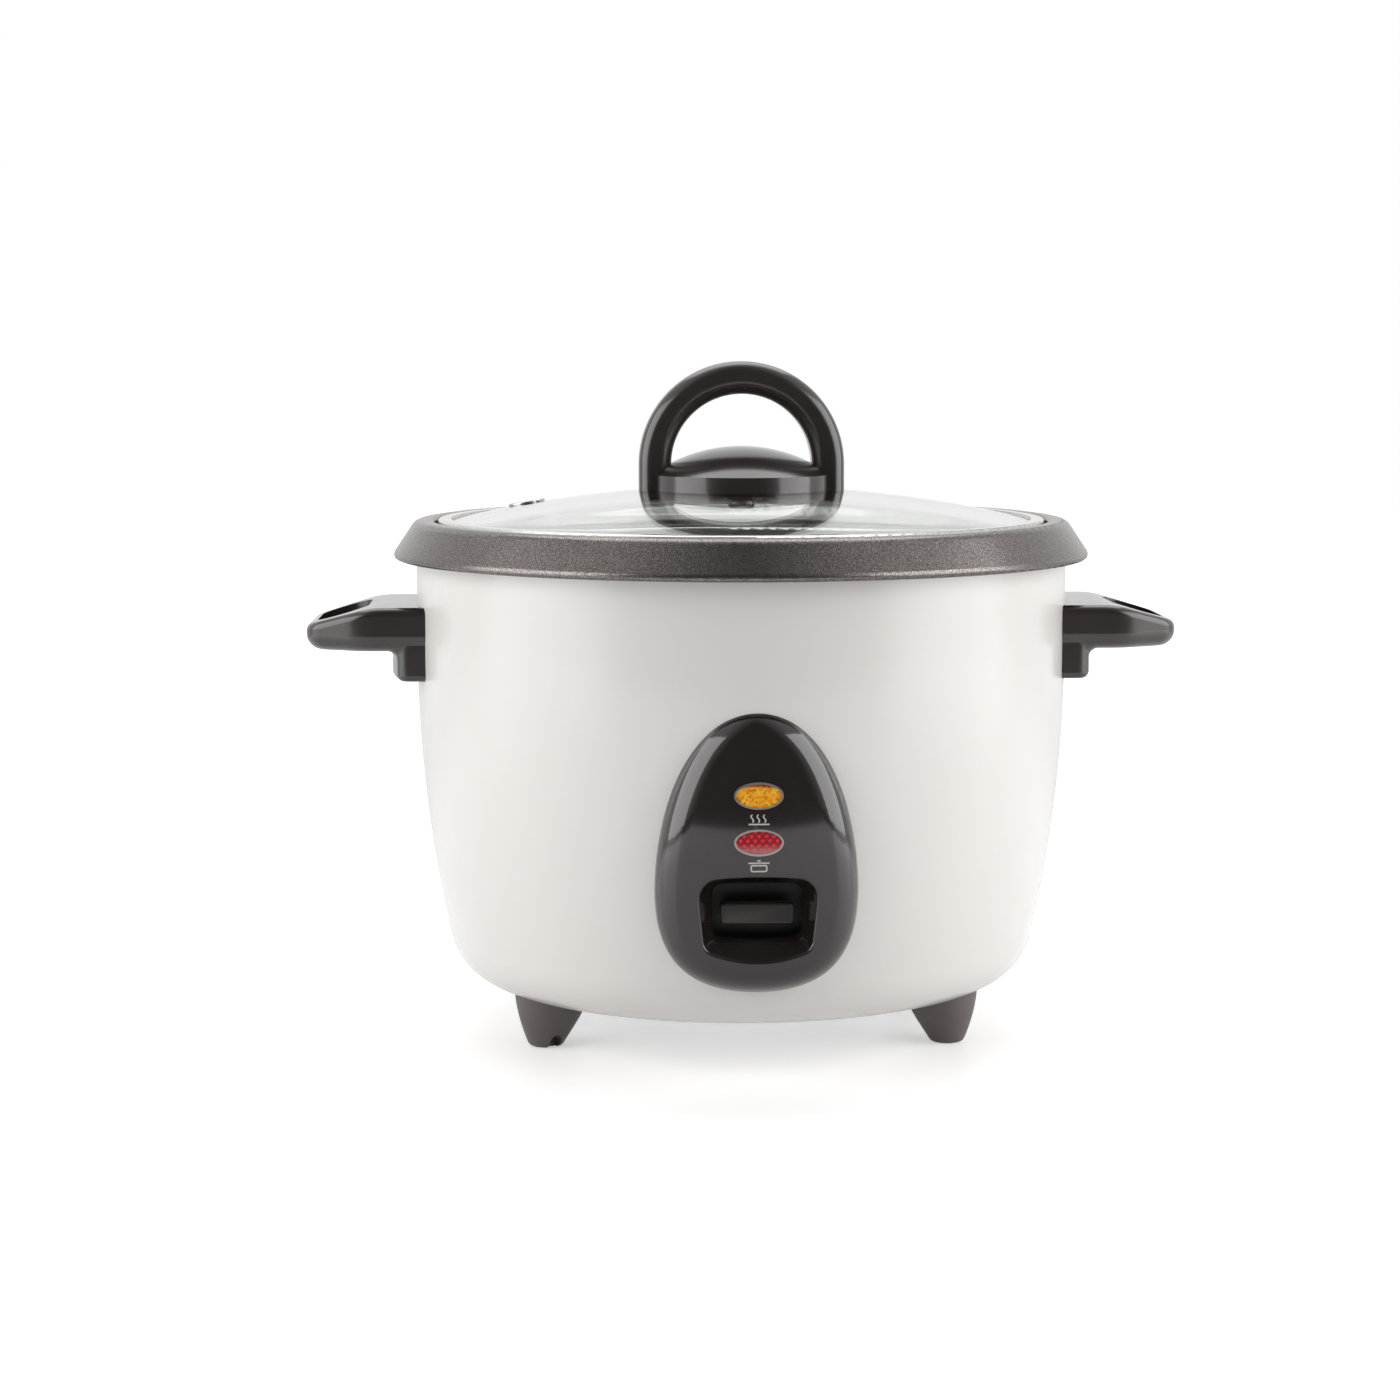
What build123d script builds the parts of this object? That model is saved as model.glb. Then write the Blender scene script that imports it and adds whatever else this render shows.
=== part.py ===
from build123d import *

import os
from math import asin, cos, hypot, radians, sin, sqrt

# A drum rice cooker with a lift-off glass lid and a lift-out inner pot.
# The origin is on the floor under the drum's centre; +Z is up and the control panel faces -Y.

# ---- Driving dimensions, mm ----

# Inner pot
POT_RADIUS = 91.0
POT_DEPTH = 103.5  # seat to the underside
POT_WALL = 1.6
POT_CORNER = 28.0
POT_FLANGE_WIDTH = 7.5
POT_FLANGE_ROUND = 0.6
POT_MOUTH_ROUND = 1.2

# Drum
FOOT_HEIGHT = 15.2  # floor to the underside of the drum
BODY_WALL = 0.9
STRAIGHT_HEIGHT = 35.5  # upper part that doesn't taper
BELLY_RADIUS = 418.0  # slow curve below it
CORNER_RADIUS = 18.5  # quick curve into the bottom
BOTTOM_WIDTH = 43.4  # drum's outer face to the hole in its bottom
FIT = 0.15  # gap between parts pushed together

# Top ring
RING_OVERHANG = 7.1  # beyond the drum
RING_SKIRT = 3.5  # below the drum's top edge
RING_RISE = 8.8  # above it
RING_FACE_LEAN = 6.9
RING_EDGE_HEIGHT = 2.0
RING_WALL = 2.2
RING_PLAY = 1.0  # around the pot's flange
RING_FACE_ROUNDS = (1.2, 1.6, 3.6)  # skirt's edge, foot and top of the leaning face
RING_BORE_ROUND = 1.4
SEAT_CORNER_ROUND = 0.5
SEAT_RISE = 1.0  # pot seat above the drum's top edge
SEAT_THICKNESS = 1.5
SEAT_PLAY = 3.5  # around the pot

# Heat reflector, the tub between drum and pot
REFLECTOR_GAP = 4.5  # around the pot
REFLECTOR_ROOM = 13.0  # tub's underside to the pot's
REFLECTOR_WALL = 0.8
REFLECTOR_CORNER = 14.0
REFLECTOR_DRAW = 7.5  # taper on the radius
TAPER_START = 19.0  # heights above the tub's underside
TAPER_END = 47.0
REFLECTOR_HOLE_RADIUS = 23.0
DRUM_GAP = 9.9  # reflector to the drum's outer face

# Heating plate
PLATE_INSET = 19.0  # inside the pot's wall
PLATE_HOLE_RADIUS = 18.5
PLATE_THICKNESS = 5.0
PLATE_GAP = 0.3  # under the pot
BEAD_INSET = 20.0  # plate's edge to the middle of the cast-in heater ring
BEAD_WIDTH = 16.0
BEAD_DEPTH = 4.5
BEAD_DRAFT = 2.5
BEAD_ROUND = 2.0
PLATE_ROUNDS = (1.0, 1.5)  # top's inner and outer edge
POST_COUNT = 3
POST_INSET = 6.5
POST_RADIUS = 4.0
PLATE_SCREW_BITE = 2.8
TERMINAL_ANGLES = (80, 100)
TERMINAL_RADIUS = 2.0
TERMINAL_LENGTH = 12.0
TERMINAL_HOLE_PLAY = 1.5

# Magnetic thermostat in the plate's hole
SENSOR_PLAY = 1.5  # in the hole
SENSOR_GAP = 0.2  # under the pot
SENSOR_WALL = 1.0
SENSOR_SKIRT = 11.3
SENSOR_ROUND = 0.9
SENSOR_FLANGE_WIDTH = 3.5
FERRITE_RADIUS = 12.0
FERRITE_THICKNESS = 4.0
MAGNET_RADIUS = 11.0
MAGNET_THICKNESS = 5.0
MAGNET_GAP = 5.6  # to the ferrite while the lever is up
HOLDER_RIM = 1.2  # wider than the magnet
HOLDER_THICKNESS = 1.2
STEM_RADIUS = 2.5
STEM_TAIL = 2.5  # below the fork's noses
STEM_CLEARANCE = 2.9  # above the base plate
COLLAR_RADIUS = 8.0
CUP_RADIUS = 22.0
CUP_WALL = 0.8
CUP_DEPTH = 11.0
CUP_FLANGE_WIDTH = 4.0
SPRING_WIRE_RADIUS = 0.6
SPRING_TURNS = 4

# Cook lever
PIVOT_Y = -45.0
PIVOT_DROP = 11.0  # under the reflector's floor
PIN_RADIUS = 1.5
PIN_PLAY = 0.05
PIN_PROUD = 0.6  # out of each side of the bracket
BOSS_RADIUS = 4.0
LEVER_WIDTH = 10.0
LEVER_THICKNESS = 2.0
LEVER_BEND = 2.5
ELBOW_RISE = 3.0  # lever's outer elbow above its pivot
LEG_CLEARANCE = 14.9  # lever's upright leg to the drum's outer face
NOSE_DROP = 7.5  # thermostat cup to the fork's noses
NOSE_RADIUS = 1.6
NOSE_GAP = 0.3
FORK_WIDTH = 14.0
FORK_GAP = 7.0
FORK_GAP_REACH = 10.0  # either side of the stem
FORK_LENGTH = 15.0
FORK_SLOPE = 1.0
TAIL_LENGTH = 33.0
TAIL_RISE = 1.4  # its end above the noses
SWITCH_TAB = (9.0, 4.0)
SWITCH_TAB_OFFSET = 15.0  # behind the pivot
SWITCH_TAB_DROP = 2.7
PADDLE_WIDTH = 21.6
PADDLE_HEIGHT = 6.0
PADDLE_DEPTH = 5.0
PADDLE_RECESS = 8.2  # behind the furthest point of the fascia
PADDLE_DROP = 0.4  # under the middle of the pocket's well
PADDLE_SOCKET = 2.8
PADDLE_CORNER_ROUND = 1.0
PADDLE_FRONT_ROUND = 0.6
SHIELD_SIZE = (29.0, 1.2, 23.4)
SHIELD_SETBACK = 5.8  # its front face behind the pocket's open back
SHIELD_RISE = 1.2  # its middle above the middle of the pocket's well
BRACKET_WALL = 1.3
BRACKET_DEPTH = 9.0
BRACKET_PLAY = 0.5
BRACKET_TAIL = 3.5  # below the pivot

# Microswitch beside the lever
SWITCH_X = 11.0
SWITCH_Y = -34.0
SWITCH_WIDTH = 6.0
SWITCH_LENGTH = 14.0
SWITCH_LIFT = 1.0  # above the pivot
PLUNGER_SIZE = 2.0
PLUNGER_SHIFT = 4.0
SWITCH_ROUND = 0.8

# Control fascia
FASCIA_WIDTH = 60.9
FASCIA_HEIGHT = 86.5
FASCIA_RISE = 14.1  # above the drum's underside
FASCIA_WIDEST_RISE = 30.7  # this and the next rises are above the fascia's bottom
FASCIA_WALL = 2.0
FASCIA_EDGE_ROUND = 10.5
CROWN_REACH = 6.6  # furthest point of the crowned face beyond the drum
CROWN_RISE = 45.7
CROWN_RADIUS = 225.0  # curve up and down
CROWN_AXIS_Y = -35.0  # axis of the curve from side to side
UPPER_PULL = (0.70, 0.39)  # fullness of the outline above its widest place
LOWER_PULL = (0.72, 0.65)
POCKET_MOUTH = (40.2, 28.7)
POCKET_MOUTH_SAG = 3.4  # bow of its lower edge
POCKET_MOUTH_TAPER = 1.8  # its lower edge is narrower on each side
POCKET_MOUTH_RISE = 22.65
POCKET_MOUTH_ROUNDS = (8.5, 4.0)  # upper and lower corners
POCKET_WELL = (27.3, 17.2)
POCKET_WELL_SAG = 0.8
POCKET_WELL_TAPER = 0.5
POCKET_WELL_RISE = 25.1
POCKET_WELL_ROUNDS = (3.4, 2.8)
POCKET_DEPTH = 9.5  # to the well
WELL_DEPTH = 3.0
POCKET_WALL = 1.6
POCKET_LIP_ROUND = 0.9
PRY_SLIT = (11.0, 0.9)  # under the fascia's lower edge
PRY_SLIT_DEPTH = 3.5
WINDOW_PLAY = 1.5
LENS_SIZE = (13.4, 6.8)
LENS_PITCH = 13.8
RED_RISE = 47.3
BEZEL_WIDTH = 0.6
LENS_PROUD = 0.4
BEZEL_PROUD = 0.6
LENS_LENGTH = 9.8
LAMP_RADIUS = 2.3
LAMP_LENGTH = 12.0
LAMP_PLAY = 0.2
HOLDER_SIZE = (21.0, 7.1, 26.0)
HOLDER_LAP = 1.8  # over the lenses' tails
FASCIA_SCREWS = ((0.0, 74.6), (-20.5, 14.7), (20.5, 14.7))  # x, rise
FASCIA_SCREW_COVER = 3.0  # crowned face to the screw's end

# Side handles
HANDLE_LENGTH = 34.6  # beyond the drum
HANDLE_DROP = 17.9  # its top below the drum's top edge
HANDLE_THICKNESS = 14.1
HANDLE_TIP_DROP = 6.0
HANDLE_SLOPE_LENGTH = 21.0
HANDLE_SLOPE_ROUND = 30.0
HANDLE_WIDTH = 58.0
HANDLE_TIP_WIDTH = 40.0
HANDLE_TAPER_LENGTH = 17.4
HANDLE_SIDE_ROUND = 20.0
HANDLE_CORNER_ROUND = 9.0
HANDLE_TIP_ROUNDS = (5.0, 2.6)  # lower and upper edge of the tip
HANDLE_LEG = 9.5  # below the underside
HANDLE_LEG_THICKNESS = 8.0
HANDLE_LEG_CORNER = 4.0
HANDLE_LEG_ROUND = 2.0
HANDLE_INNER_ROUND = 3.0  # where leg and underside meet
FINGER_HOLE = (16.4, 36.0)
FINGER_HOLE_INSET = 11.4
HANDLE_SCREW_ANGLE = 8.0
HANDLE_SCREW_DROP = 10.6
HANDLE_SCREW_LENGTH = 9.0

# Feet
FOOT_LAP = 11.0  # foot's top centre outside the drum's bottom hole
FOOT_SPLAY = 2.4  # tip's centre outside the top's
FOOT_TIP_RADIUS = 5.2
FOOT_MIDDLE_RADIUS = 9.0
FOOT_TOP_RADIUS = 11.6
FOOT_ANGLE = 31.8  # from the X axis
FOOT_ROUND = 2.2
FOOT_NOTCH_RADIUS = 2.0
FOOT_NOTCH_RISE = 1.2
FOOT_NOTCH_INSET = 2.6  # its inner end from the foot's middle
FOOT_SCREW_LENGTH = 9.0

# Base plate
BASE_LAP = 13.0  # over the drum's bottom
BASE_THICKNESS = 1.0
VENT_COUNT = 16
VENT_LENGTH = 20.0
VENT_WIDTH = 3.0
VENT_CIRCLE = 38.0

# Keep-warm heater band around the reflector
BAND_RISE = 67.0  # above the reflector's underside
BAND_HEIGHT = 22.0
BAND_THICKNESS = 1.3

# Thermal fuse under the reflector's floor
FUSE_RADIUS = 3.0
FUSE_LENGTH = 20.0
FUSE_CLIP = 0.4
FUSE_CLIP_WIDTH = 5.0
FUSE_PLACE = (24.0, 57.0)

# Terminal block on the base plate
BLOCK_Y = 42.0
BLOCK_SIZE = (36.0, 15.0, 12.0)
BLOCK_PITCH = 11.0
BLOCK_WIRE_RADIUS = 2.2
BLOCK_WIRE_RISE = 7.0
BLOCK_SCREW_RADIUS = 2.4
BLOCK_SCREW_DEPTH = 6.0
BLOCK_ROUND = 1.5

# Power inlet at the back
INLET_SIZE = (36.0, 24.0)
INLET_CORNER = 4.0
INLET_FRONT_ROUND = 1.5
INLET_RISE = 17.3  # above the drum's underside
INLET_SETBACK = 3.4  # inside the drum's greatest radius
INLET_LENGTH = 15.5
INLET_NECK = (31.0, 21.0)
SOCKET_SIZE = (28.0, 17.0)
SOCKET_DEPTH = 13.0
SOCKET_CORNER = 3.0
INLET_PIN_RADIUS = 2.0
INLET_PIN_PITCH = 8.0
INLET_PIN_TAIL = 4.0
INLET_PIN_RECESS = 1.5

# Lid
GLASS_CURVE = 413.0
GLASS_THICKNESS = 4.0
LID_INSET = 1.7  # glass's edge inside the pot's flange
LID_GAP = 0.2  # rim to flange
LID_RIM_WALL = 0.6
LID_RIM_PLAY = 0.9
LID_RIM_LIP = 4.2
LID_RIM_PROUD = 1.6
LID_RIM_ROUND = 1.0
VENT_INSET = 24.8  # inside the glass's edge
VENT_ANGLE = 166.3
EYELET_RADIUS = 6.0
EYELET_TUBE_RADIUS = 3.2
EYELET_BORE_RADIUS = 1.8
EYELET_FLANGE = 0.8

# Lid knob
ARCH_RADIUS = 33.3
ARCH_THICKNESS = 10.5
ARCH_WIDTH = 17.0
ARCH_RISE = 7.2  # its centre above the glass
ARCH_ROUND = 4.4
KNOB_BASE_RADIUS = 29.0
KNOB_WALL_HEIGHT = 5.0
KNOB_DOME_RISE = 13.1
GASKET_RADIUS = 12.0
GASKET_THICKNESS = 1.0
WASHER_RADIUS = 9.0
WASHER_THICKNESS = 1.2
WASHER_GAP = 0.1
KNOB_SCREW_RADIUS = 2.4
KNOB_SCREW_HEAD_RADIUS = 4.4
KNOB_SCREW_HEAD_HEIGHT = 2.6
KNOB_SCREW_BITE = 7.0

# Screws
SCREW_RADIUS = 1.6
SCREW_HEAD_RADIUS = 3.0
SCREW_HEAD_HEIGHT = 1.8
SCREW_PLAY = 0.05
SCREW_HOLE_SPARE = 0.5

# ---- Radii and places worked out, from the pot outwards ----

POT_FLANGE_RADIUS = POT_RADIUS + POT_FLANGE_WIDTH
SEAT_LIP_RADIUS = POT_RADIUS + SEAT_PLAY
RING_BORE_RADIUS = POT_FLANGE_RADIUS + RING_PLAY
REFLECTOR_RADIUS = POT_RADIUS + REFLECTOR_GAP
REFLECTOR_FOOT_RADIUS = REFLECTOR_RADIUS - REFLECTOR_DRAW
BODY_RADIUS = REFLECTOR_RADIUS + DRUM_GAP
BODY_INNER_RADIUS = BODY_RADIUS - BODY_WALL
RING_RADIUS = BODY_RADIUS + RING_OVERHANG
GLASS_RADIUS = POT_FLANGE_RADIUS - LID_INSET
LID_RIM_RADIUS = GLASS_RADIUS + LID_RIM_PLAY + LID_RIM_WALL
BOTTOM_HOLE_RADIUS = BODY_RADIUS - BOTTOM_WIDTH
PLATE_RADIUS = POT_RADIUS - PLATE_INSET
BEAD_RADIUS = PLATE_RADIUS - BEAD_INSET
POST_CIRCLE = PLATE_RADIUS - POST_INSET
SENSOR_RADIUS = PLATE_HOLE_RADIUS - SENSOR_PLAY
FOOT_TOP_CIRCLE = BOTTOM_HOLE_RADIUS + FOOT_LAP
FOOT_TIP_CIRCLE = FOOT_TOP_CIRCLE + FOOT_SPLAY
BASE_RADIUS = BOTTOM_HOLE_RADIUS + BASE_LAP
HANDLE_REACH = BODY_RADIUS + HANDLE_LENGTH
FINGER_HOLE_X = HANDLE_REACH - FINGER_HOLE_INSET
CROWN_FRONT = BODY_RADIUS + CROWN_REACH
POCKET_WELL_Y = POCKET_DEPTH - CROWN_FRONT
POCKET_BACK_Y = POCKET_WELL_Y + WELL_DEPTH
LENS_BACK_Y = LENS_LENGTH - CROWN_FRONT
LEVER_LEG_Y = LEG_CLEARANCE - BODY_RADIUS
PADDLE_FRONT_Y = PADDLE_RECESS - CROWN_FRONT
PADDLE_BACK_Y = PADDLE_FRONT_Y + PADDLE_DEPTH
INLET_FRONT_Y = BODY_RADIUS - INLET_SETBACK
INLET_BACK_Y = INLET_FRONT_Y - INLET_LENGTH
BRACKET_INSIDE = LEVER_WIDTH + 2 * BRACKET_PLAY
BRACKET_WIDTH = BRACKET_INSIDE + 2 * BRACKET_WALL

# ---- Levels worked out, from the floor up ----

BASE_PLATE_BOTTOM = FOOT_HEIGHT + BODY_WALL
BASE_PLATE_TOP = BASE_PLATE_BOTTOM + BASE_THICKNESS
STEM_BOTTOM = BASE_PLATE_TOP + STEM_CLEARANCE
NOSE_Z = STEM_BOTTOM + STEM_TAIL
COLLAR_BOTTOM = NOSE_Z + NOSE_RADIUS + NOSE_GAP
CUP_BOTTOM = NOSE_Z + NOSE_DROP
REFLECTOR_FLOOR = CUP_BOTTOM + CUP_DEPTH
REFLECTOR_FLOOR_TOP = REFLECTOR_FLOOR + REFLECTOR_WALL
PIVOT_Z = REFLECTOR_FLOOR - PIVOT_DROP
POT_BOTTOM = REFLECTOR_FLOOR + REFLECTOR_ROOM
SEAT_Z = POT_BOTTOM + POT_DEPTH
SEAT_UNDERSIDE = SEAT_Z - SEAT_THICKNESS
POT_FLANGE_TOP = SEAT_Z + POT_WALL
BODY_TOP = SEAT_Z - SEAT_RISE
STRAIGHT_Z = BODY_TOP - STRAIGHT_HEIGHT
RING_TOP = BODY_TOP + RING_RISE
RING_BOTTOM = BODY_TOP - RING_SKIRT
PLATE_TOP = POT_BOTTOM - PLATE_GAP
PLATE_UNDERSIDE = PLATE_TOP - PLATE_THICKNESS
SENSOR_TOP = POT_BOTTOM - SENSOR_GAP
SENSOR_FLANGE_TOP = PLATE_UNDERSIDE - PLATE_GAP
FERRITE_TOP = SENSOR_TOP - SENSOR_WALL
MAGNET_TOP = FERRITE_TOP - FERRITE_THICKNESS - MAGNET_GAP
MAGNET_BOTTOM = MAGNET_TOP - MAGNET_THICKNESS
HANDLE_TOP = BODY_TOP - HANDLE_DROP
HANDLE_UNDERSIDE = HANDLE_TOP - HANDLE_THICKNESS
HANDLE_LEG_BOTTOM = HANDLE_UNDERSIDE - HANDLE_LEG
FASCIA_BOTTOM = FOOT_HEIGHT + FASCIA_RISE
FASCIA_TOP = FASCIA_BOTTOM + FASCIA_HEIGHT
CROWN_HEIGHT = FASCIA_BOTTOM + CROWN_RISE
POCKET_WELL_Z = FASCIA_BOTTOM + POCKET_WELL_RISE
POCKET_MOUTH_Z = FASCIA_BOTTOM + POCKET_MOUTH_RISE
PADDLE_Z = POCKET_WELL_Z - PADDLE_DROP
RED_Z = FASCIA_BOTTOM + RED_RISE
AMBER_Z = RED_Z + LENS_PITCH
LENS_MIDDLE_Z = (AMBER_Z + RED_Z) / 2
INLET_Z = FOOT_HEIGHT + INLET_RISE
GLASS_INNER_CURVE = GLASS_CURVE - GLASS_THICKNESS
GLASS_SAG = GLASS_CURVE - sqrt(GLASS_INNER_CURVE**2 - GLASS_RADIUS**2)
GLASS_TOP = POT_FLANGE_TOP + LID_GAP + LID_RIM_WALL + GLASS_SAG
GLASS_CENTRE_Z = GLASS_TOP - GLASS_CURVE
ARCH_CENTRE_Z = GLASS_TOP + ARCH_RISE
KNOB_DOME_TOP = GLASS_TOP + KNOB_DOME_RISE
WASHER_TOP = GLASS_TOP - GLASS_THICKNESS - WASHER_GAP
WASHER_BOTTOM = WASHER_TOP - WASHER_THICKNESS


# ---- Shared shapes ----


def section(points, rounds=()):
    """Closed flat face through corner points; rounds pairs a corner's index with its radius."""
    face = make_face(Polyline(*points, close=True))
    for index, radius in rounds:
        x, y = points[index]
        corner = min(face.vertices(), key=lambda v: hypot(v.X - x, v.Y - y))
        face = fillet(corner, radius)
    return face


def turned(face):
    """Solid turned about Z from a face drawn as (radius, height)."""
    return revolve(Plane.XZ * face, Axis.Z)


def disc(radius, low, high, bore=0.0):
    """Upright disc or tube between two heights."""
    outline = Circle(radius) - Circle(bore) if bore else Circle(radius)
    return Pos(0, 0, low) * extrude(outline, high - low)


def along_y(sketch, start, end):
    """Solid from an outline drawn as (x, z), between two places along Y."""
    return extrude(Plane.XZ.offset(-start) * sketch, start - end)


def around(angle, solid):
    """Solid turned about Z by an angle in degrees."""
    return Rot(0, 0, angle) * solid


def drum(inset, top):
    """Solid of the drum's outer shape moved inward by inset, filled up to a height."""
    belly_x = BODY_RADIUS - BELLY_RADIUS
    corner_z = FOOT_HEIGHT + CORNER_RADIUS
    drop = STRAIGHT_Z - corner_z
    corner_x = belly_x + sqrt((BELLY_RADIUS - CORNER_RADIUS) ** 2 - drop**2)
    lean = asin(drop / (BELLY_RADIUS - CORNER_RADIUS))
    belly, corner = BELLY_RADIUS - inset, CORNER_RADIUS - inset

    def belly_point(angle):
        return (belly_x + belly * cos(angle), STRAIGHT_Z - belly * sin(angle))

    def corner_point(angle):
        return (corner_x + corner * cos(angle), corner_z - corner * sin(angle))

    quarter = radians(90)
    shoulder, tangent, bottom = belly_point(0), belly_point(lean), corner_point(quarter)
    outline = [
        Line((0, top), (shoulder[0], top)),
        Line((shoulder[0], top), shoulder),
        ThreePointArc(shoulder, belly_point(lean / 2), tangent),
        ThreePointArc(tangent, corner_point((lean + quarter) / 2), bottom),
        Line(bottom, (0, bottom[1])),
        Line((0, bottom[1]), (0, top)),
    ]
    return turned(make_face(outline))


def drum_radius(z):
    """Outer radius of the drum at a height above its corner curve."""
    below = max(0.0, STRAIGHT_Z - z)
    return BODY_RADIUS - BELLY_RADIUS + sqrt(BELLY_RADIUS**2 - below**2)


def glass_ball(curve):
    """Ball about the centre of the glass lid's curve."""
    return Pos(0, 0, GLASS_CENTRE_Z) * Sphere(curve)


def glass_sheet():
    """The lid's curved sheet before its edge is cut."""
    return glass_ball(GLASS_CURVE) - glass_ball(GLASS_INNER_CURVE)


def glass_height(curve, radius):
    """Height of a face of the glass at a distance from the axis."""
    return GLASS_CENTRE_Z + sqrt(curve**2 - radius**2)


def pan_screw(length):
    """Screw along +Z: its head is below the origin's plane and its shank above it."""
    head = disc(SCREW_HEAD_RADIUS, -SCREW_HEAD_HEIGHT, 0)
    head = fillet(head.edges().group_by(Axis.Z)[0], SCREW_HEAD_HEIGHT / 2)
    return head + disc(SCREW_RADIUS, 0, length)


def screw_hole(depth):
    """Clearance hole for a screw's shank, along +Z from just below the origin's plane."""
    return disc(SCREW_RADIUS + SCREW_PLAY, -2 * BODY_WALL, depth)


# ---- Places where screws go: each frame has its origin under the head and Z along the screw ----


def foot_angles():
    return [FOOT_ANGLE, 180 - FOOT_ANGLE, 180 + FOOT_ANGLE, -FOOT_ANGLE]


def foot_screw_places():
    return [
        Rot(0, 0, angle) * Pos(FOOT_TOP_CIRCLE - SCREW_RADIUS, 0, BASE_PLATE_TOP) * Rot(180, 0, 0)
        for angle in foot_angles()
    ]


def post_angles():
    return [90 + index * 360 / POST_COUNT for index in range(POST_COUNT)]


def post_places(height):
    return [Rot(0, 0, angle) * Pos(POST_CIRCLE, 0, height) for angle in post_angles()]


def handle_screw_places(side):
    middle = 0 if side > 0 else 180
    inner = sqrt(BODY_INNER_RADIUS**2 - SCREW_HEAD_RADIUS**2)
    height = HANDLE_TOP - HANDLE_SCREW_DROP
    return [
        Rot(0, 0, middle + turn) * Pos(inner, 0, height) * Rot(0, 90, 0)
        for turn in (-HANDLE_SCREW_ANGLE, HANDLE_SCREW_ANGLE)
    ]


def fascia_screw_seat(x, z):
    """Y of the plane under a fascia screw's head, just inside the drum's wall."""
    inner = drum_radius(z - SCREW_HEAD_RADIUS) - BODY_WALL
    return SCREW_PLAY - sqrt(inner**2 - (abs(x) + SCREW_HEAD_RADIUS) ** 2)


def crown_y(x, z):
    """Y of the fascia's crowned face."""
    sag = CROWN_RADIUS - sqrt(CROWN_RADIUS**2 - (z - CROWN_HEIGHT) ** 2)
    reach = CROWN_FRONT + CROWN_AXIS_Y - sag
    return CROWN_AXIS_Y - sqrt(reach**2 - x**2)


def fascia_screws():
    """Place and shank length of each screw, which stops inside the fascia's boss."""
    screws = []
    for x, rise in FASCIA_SCREWS:
        z = FASCIA_BOTTOM + rise
        seat = fascia_screw_seat(x, z)
        length = seat - crown_y(x, z) - FASCIA_SCREW_COVER
        screws.append((Pos(x, seat, z) * Rot(90, 0, 0), length))
    return screws


# ---- Drum, ring, reflector and base ----


def front_window(width, height, z, round_radius):
    """Cut through the front of the drum, WINDOW_PLAY wider on every side than what passes."""
    hole = RectangleRounded(width + 2 * WINDOW_PLAY, height + 2 * WINDOW_PLAY, round_radius)
    return along_y(Pos(0, z) * hole, -CROWN_FRONT, -BODY_RADIUS / 2)


def lever_window():
    width, height = POCKET_WELL[0] + 2 * POCKET_WALL, POCKET_WELL[1] + 2 * POCKET_WALL
    return front_window(width, height, POCKET_WELL_Z, POCKET_WELL_ROUNDS[0] + POCKET_WALL)


def lamp_window():
    return front_window(HOLDER_SIZE[0], HOLDER_SIZE[2], LENS_MIDDLE_Z, WINDOW_PLAY)


def make_body_shell():
    shell = drum(0, BODY_TOP) - drum(BODY_WALL, BODY_TOP + 1)
    shell -= disc(BOTTOM_HOLE_RADIUS, FOOT_HEIGHT - 1, BASE_PLATE_TOP)
    shell -= lever_window()
    shell -= lamp_window()
    inlet = RectangleRounded(INLET_NECK[0] + 2 * FIT, INLET_NECK[1] + 2 * FIT, INLET_PIN_RADIUS)
    shell -= along_y(Pos(0, INLET_Z) * inlet, BODY_RADIUS, BODY_RADIUS / 2)
    places = handle_screw_places(1) + handle_screw_places(-1)
    places += [place for place, length in fascia_screws()]
    for place in places + foot_screw_places():
        shell -= place * screw_hole(2 * SCREW_HEAD_RADIUS)
    return shell


def make_top_ring():
    skirt_inner = BODY_RADIUS + FIT
    groove_inner = BODY_INNER_RADIUS - FIT
    points = [
        (skirt_inner, RING_BOTTOM),
        (RING_RADIUS, RING_BOTTOM),
        (RING_RADIUS, RING_BOTTOM + RING_EDGE_HEIGHT),
        (RING_RADIUS - RING_FACE_LEAN, RING_TOP),
        (RING_BORE_RADIUS, RING_TOP),
        (RING_BORE_RADIUS, SEAT_Z),
        (SEAT_LIP_RADIUS, SEAT_Z),
        (SEAT_LIP_RADIUS, SEAT_UNDERSIDE),
        (groove_inner, SEAT_UNDERSIDE),
        (groove_inner, BODY_TOP),
        (skirt_inner, BODY_TOP),
    ]
    rounds = list(enumerate(RING_FACE_ROUNDS, start=1))
    rounds += [(4, RING_BORE_ROUND), (6, SEAT_CORNER_ROUND)]
    ring = turned(section(points, rounds))
    core_inner, core_outer = skirt_inner + RING_WALL, RING_RADIUS - RING_WALL
    core_top = RING_BOTTOM + RING_EDGE_HEIGHT
    core = [
        (core_inner, RING_BOTTOM - 1),
        (core_outer, RING_BOTTOM - 1),
        (core_outer, core_top),
        (core_inner, core_top + RING_WALL),
    ]
    return ring - turned(section(core))


def reflector_solid(inset, top):
    floor = REFLECTOR_FLOOR + inset
    points = [
        (0, floor),
        (REFLECTOR_FOOT_RADIUS - inset, floor),
        (REFLECTOR_FOOT_RADIUS - inset, REFLECTOR_FLOOR + TAPER_START),
        (REFLECTOR_RADIUS - inset, REFLECTOR_FLOOR + TAPER_END),
        (REFLECTOR_RADIUS - inset, top),
        (0, top),
    ]
    return turned(section(points, [(1, REFLECTOR_CORNER - inset)]))


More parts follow.
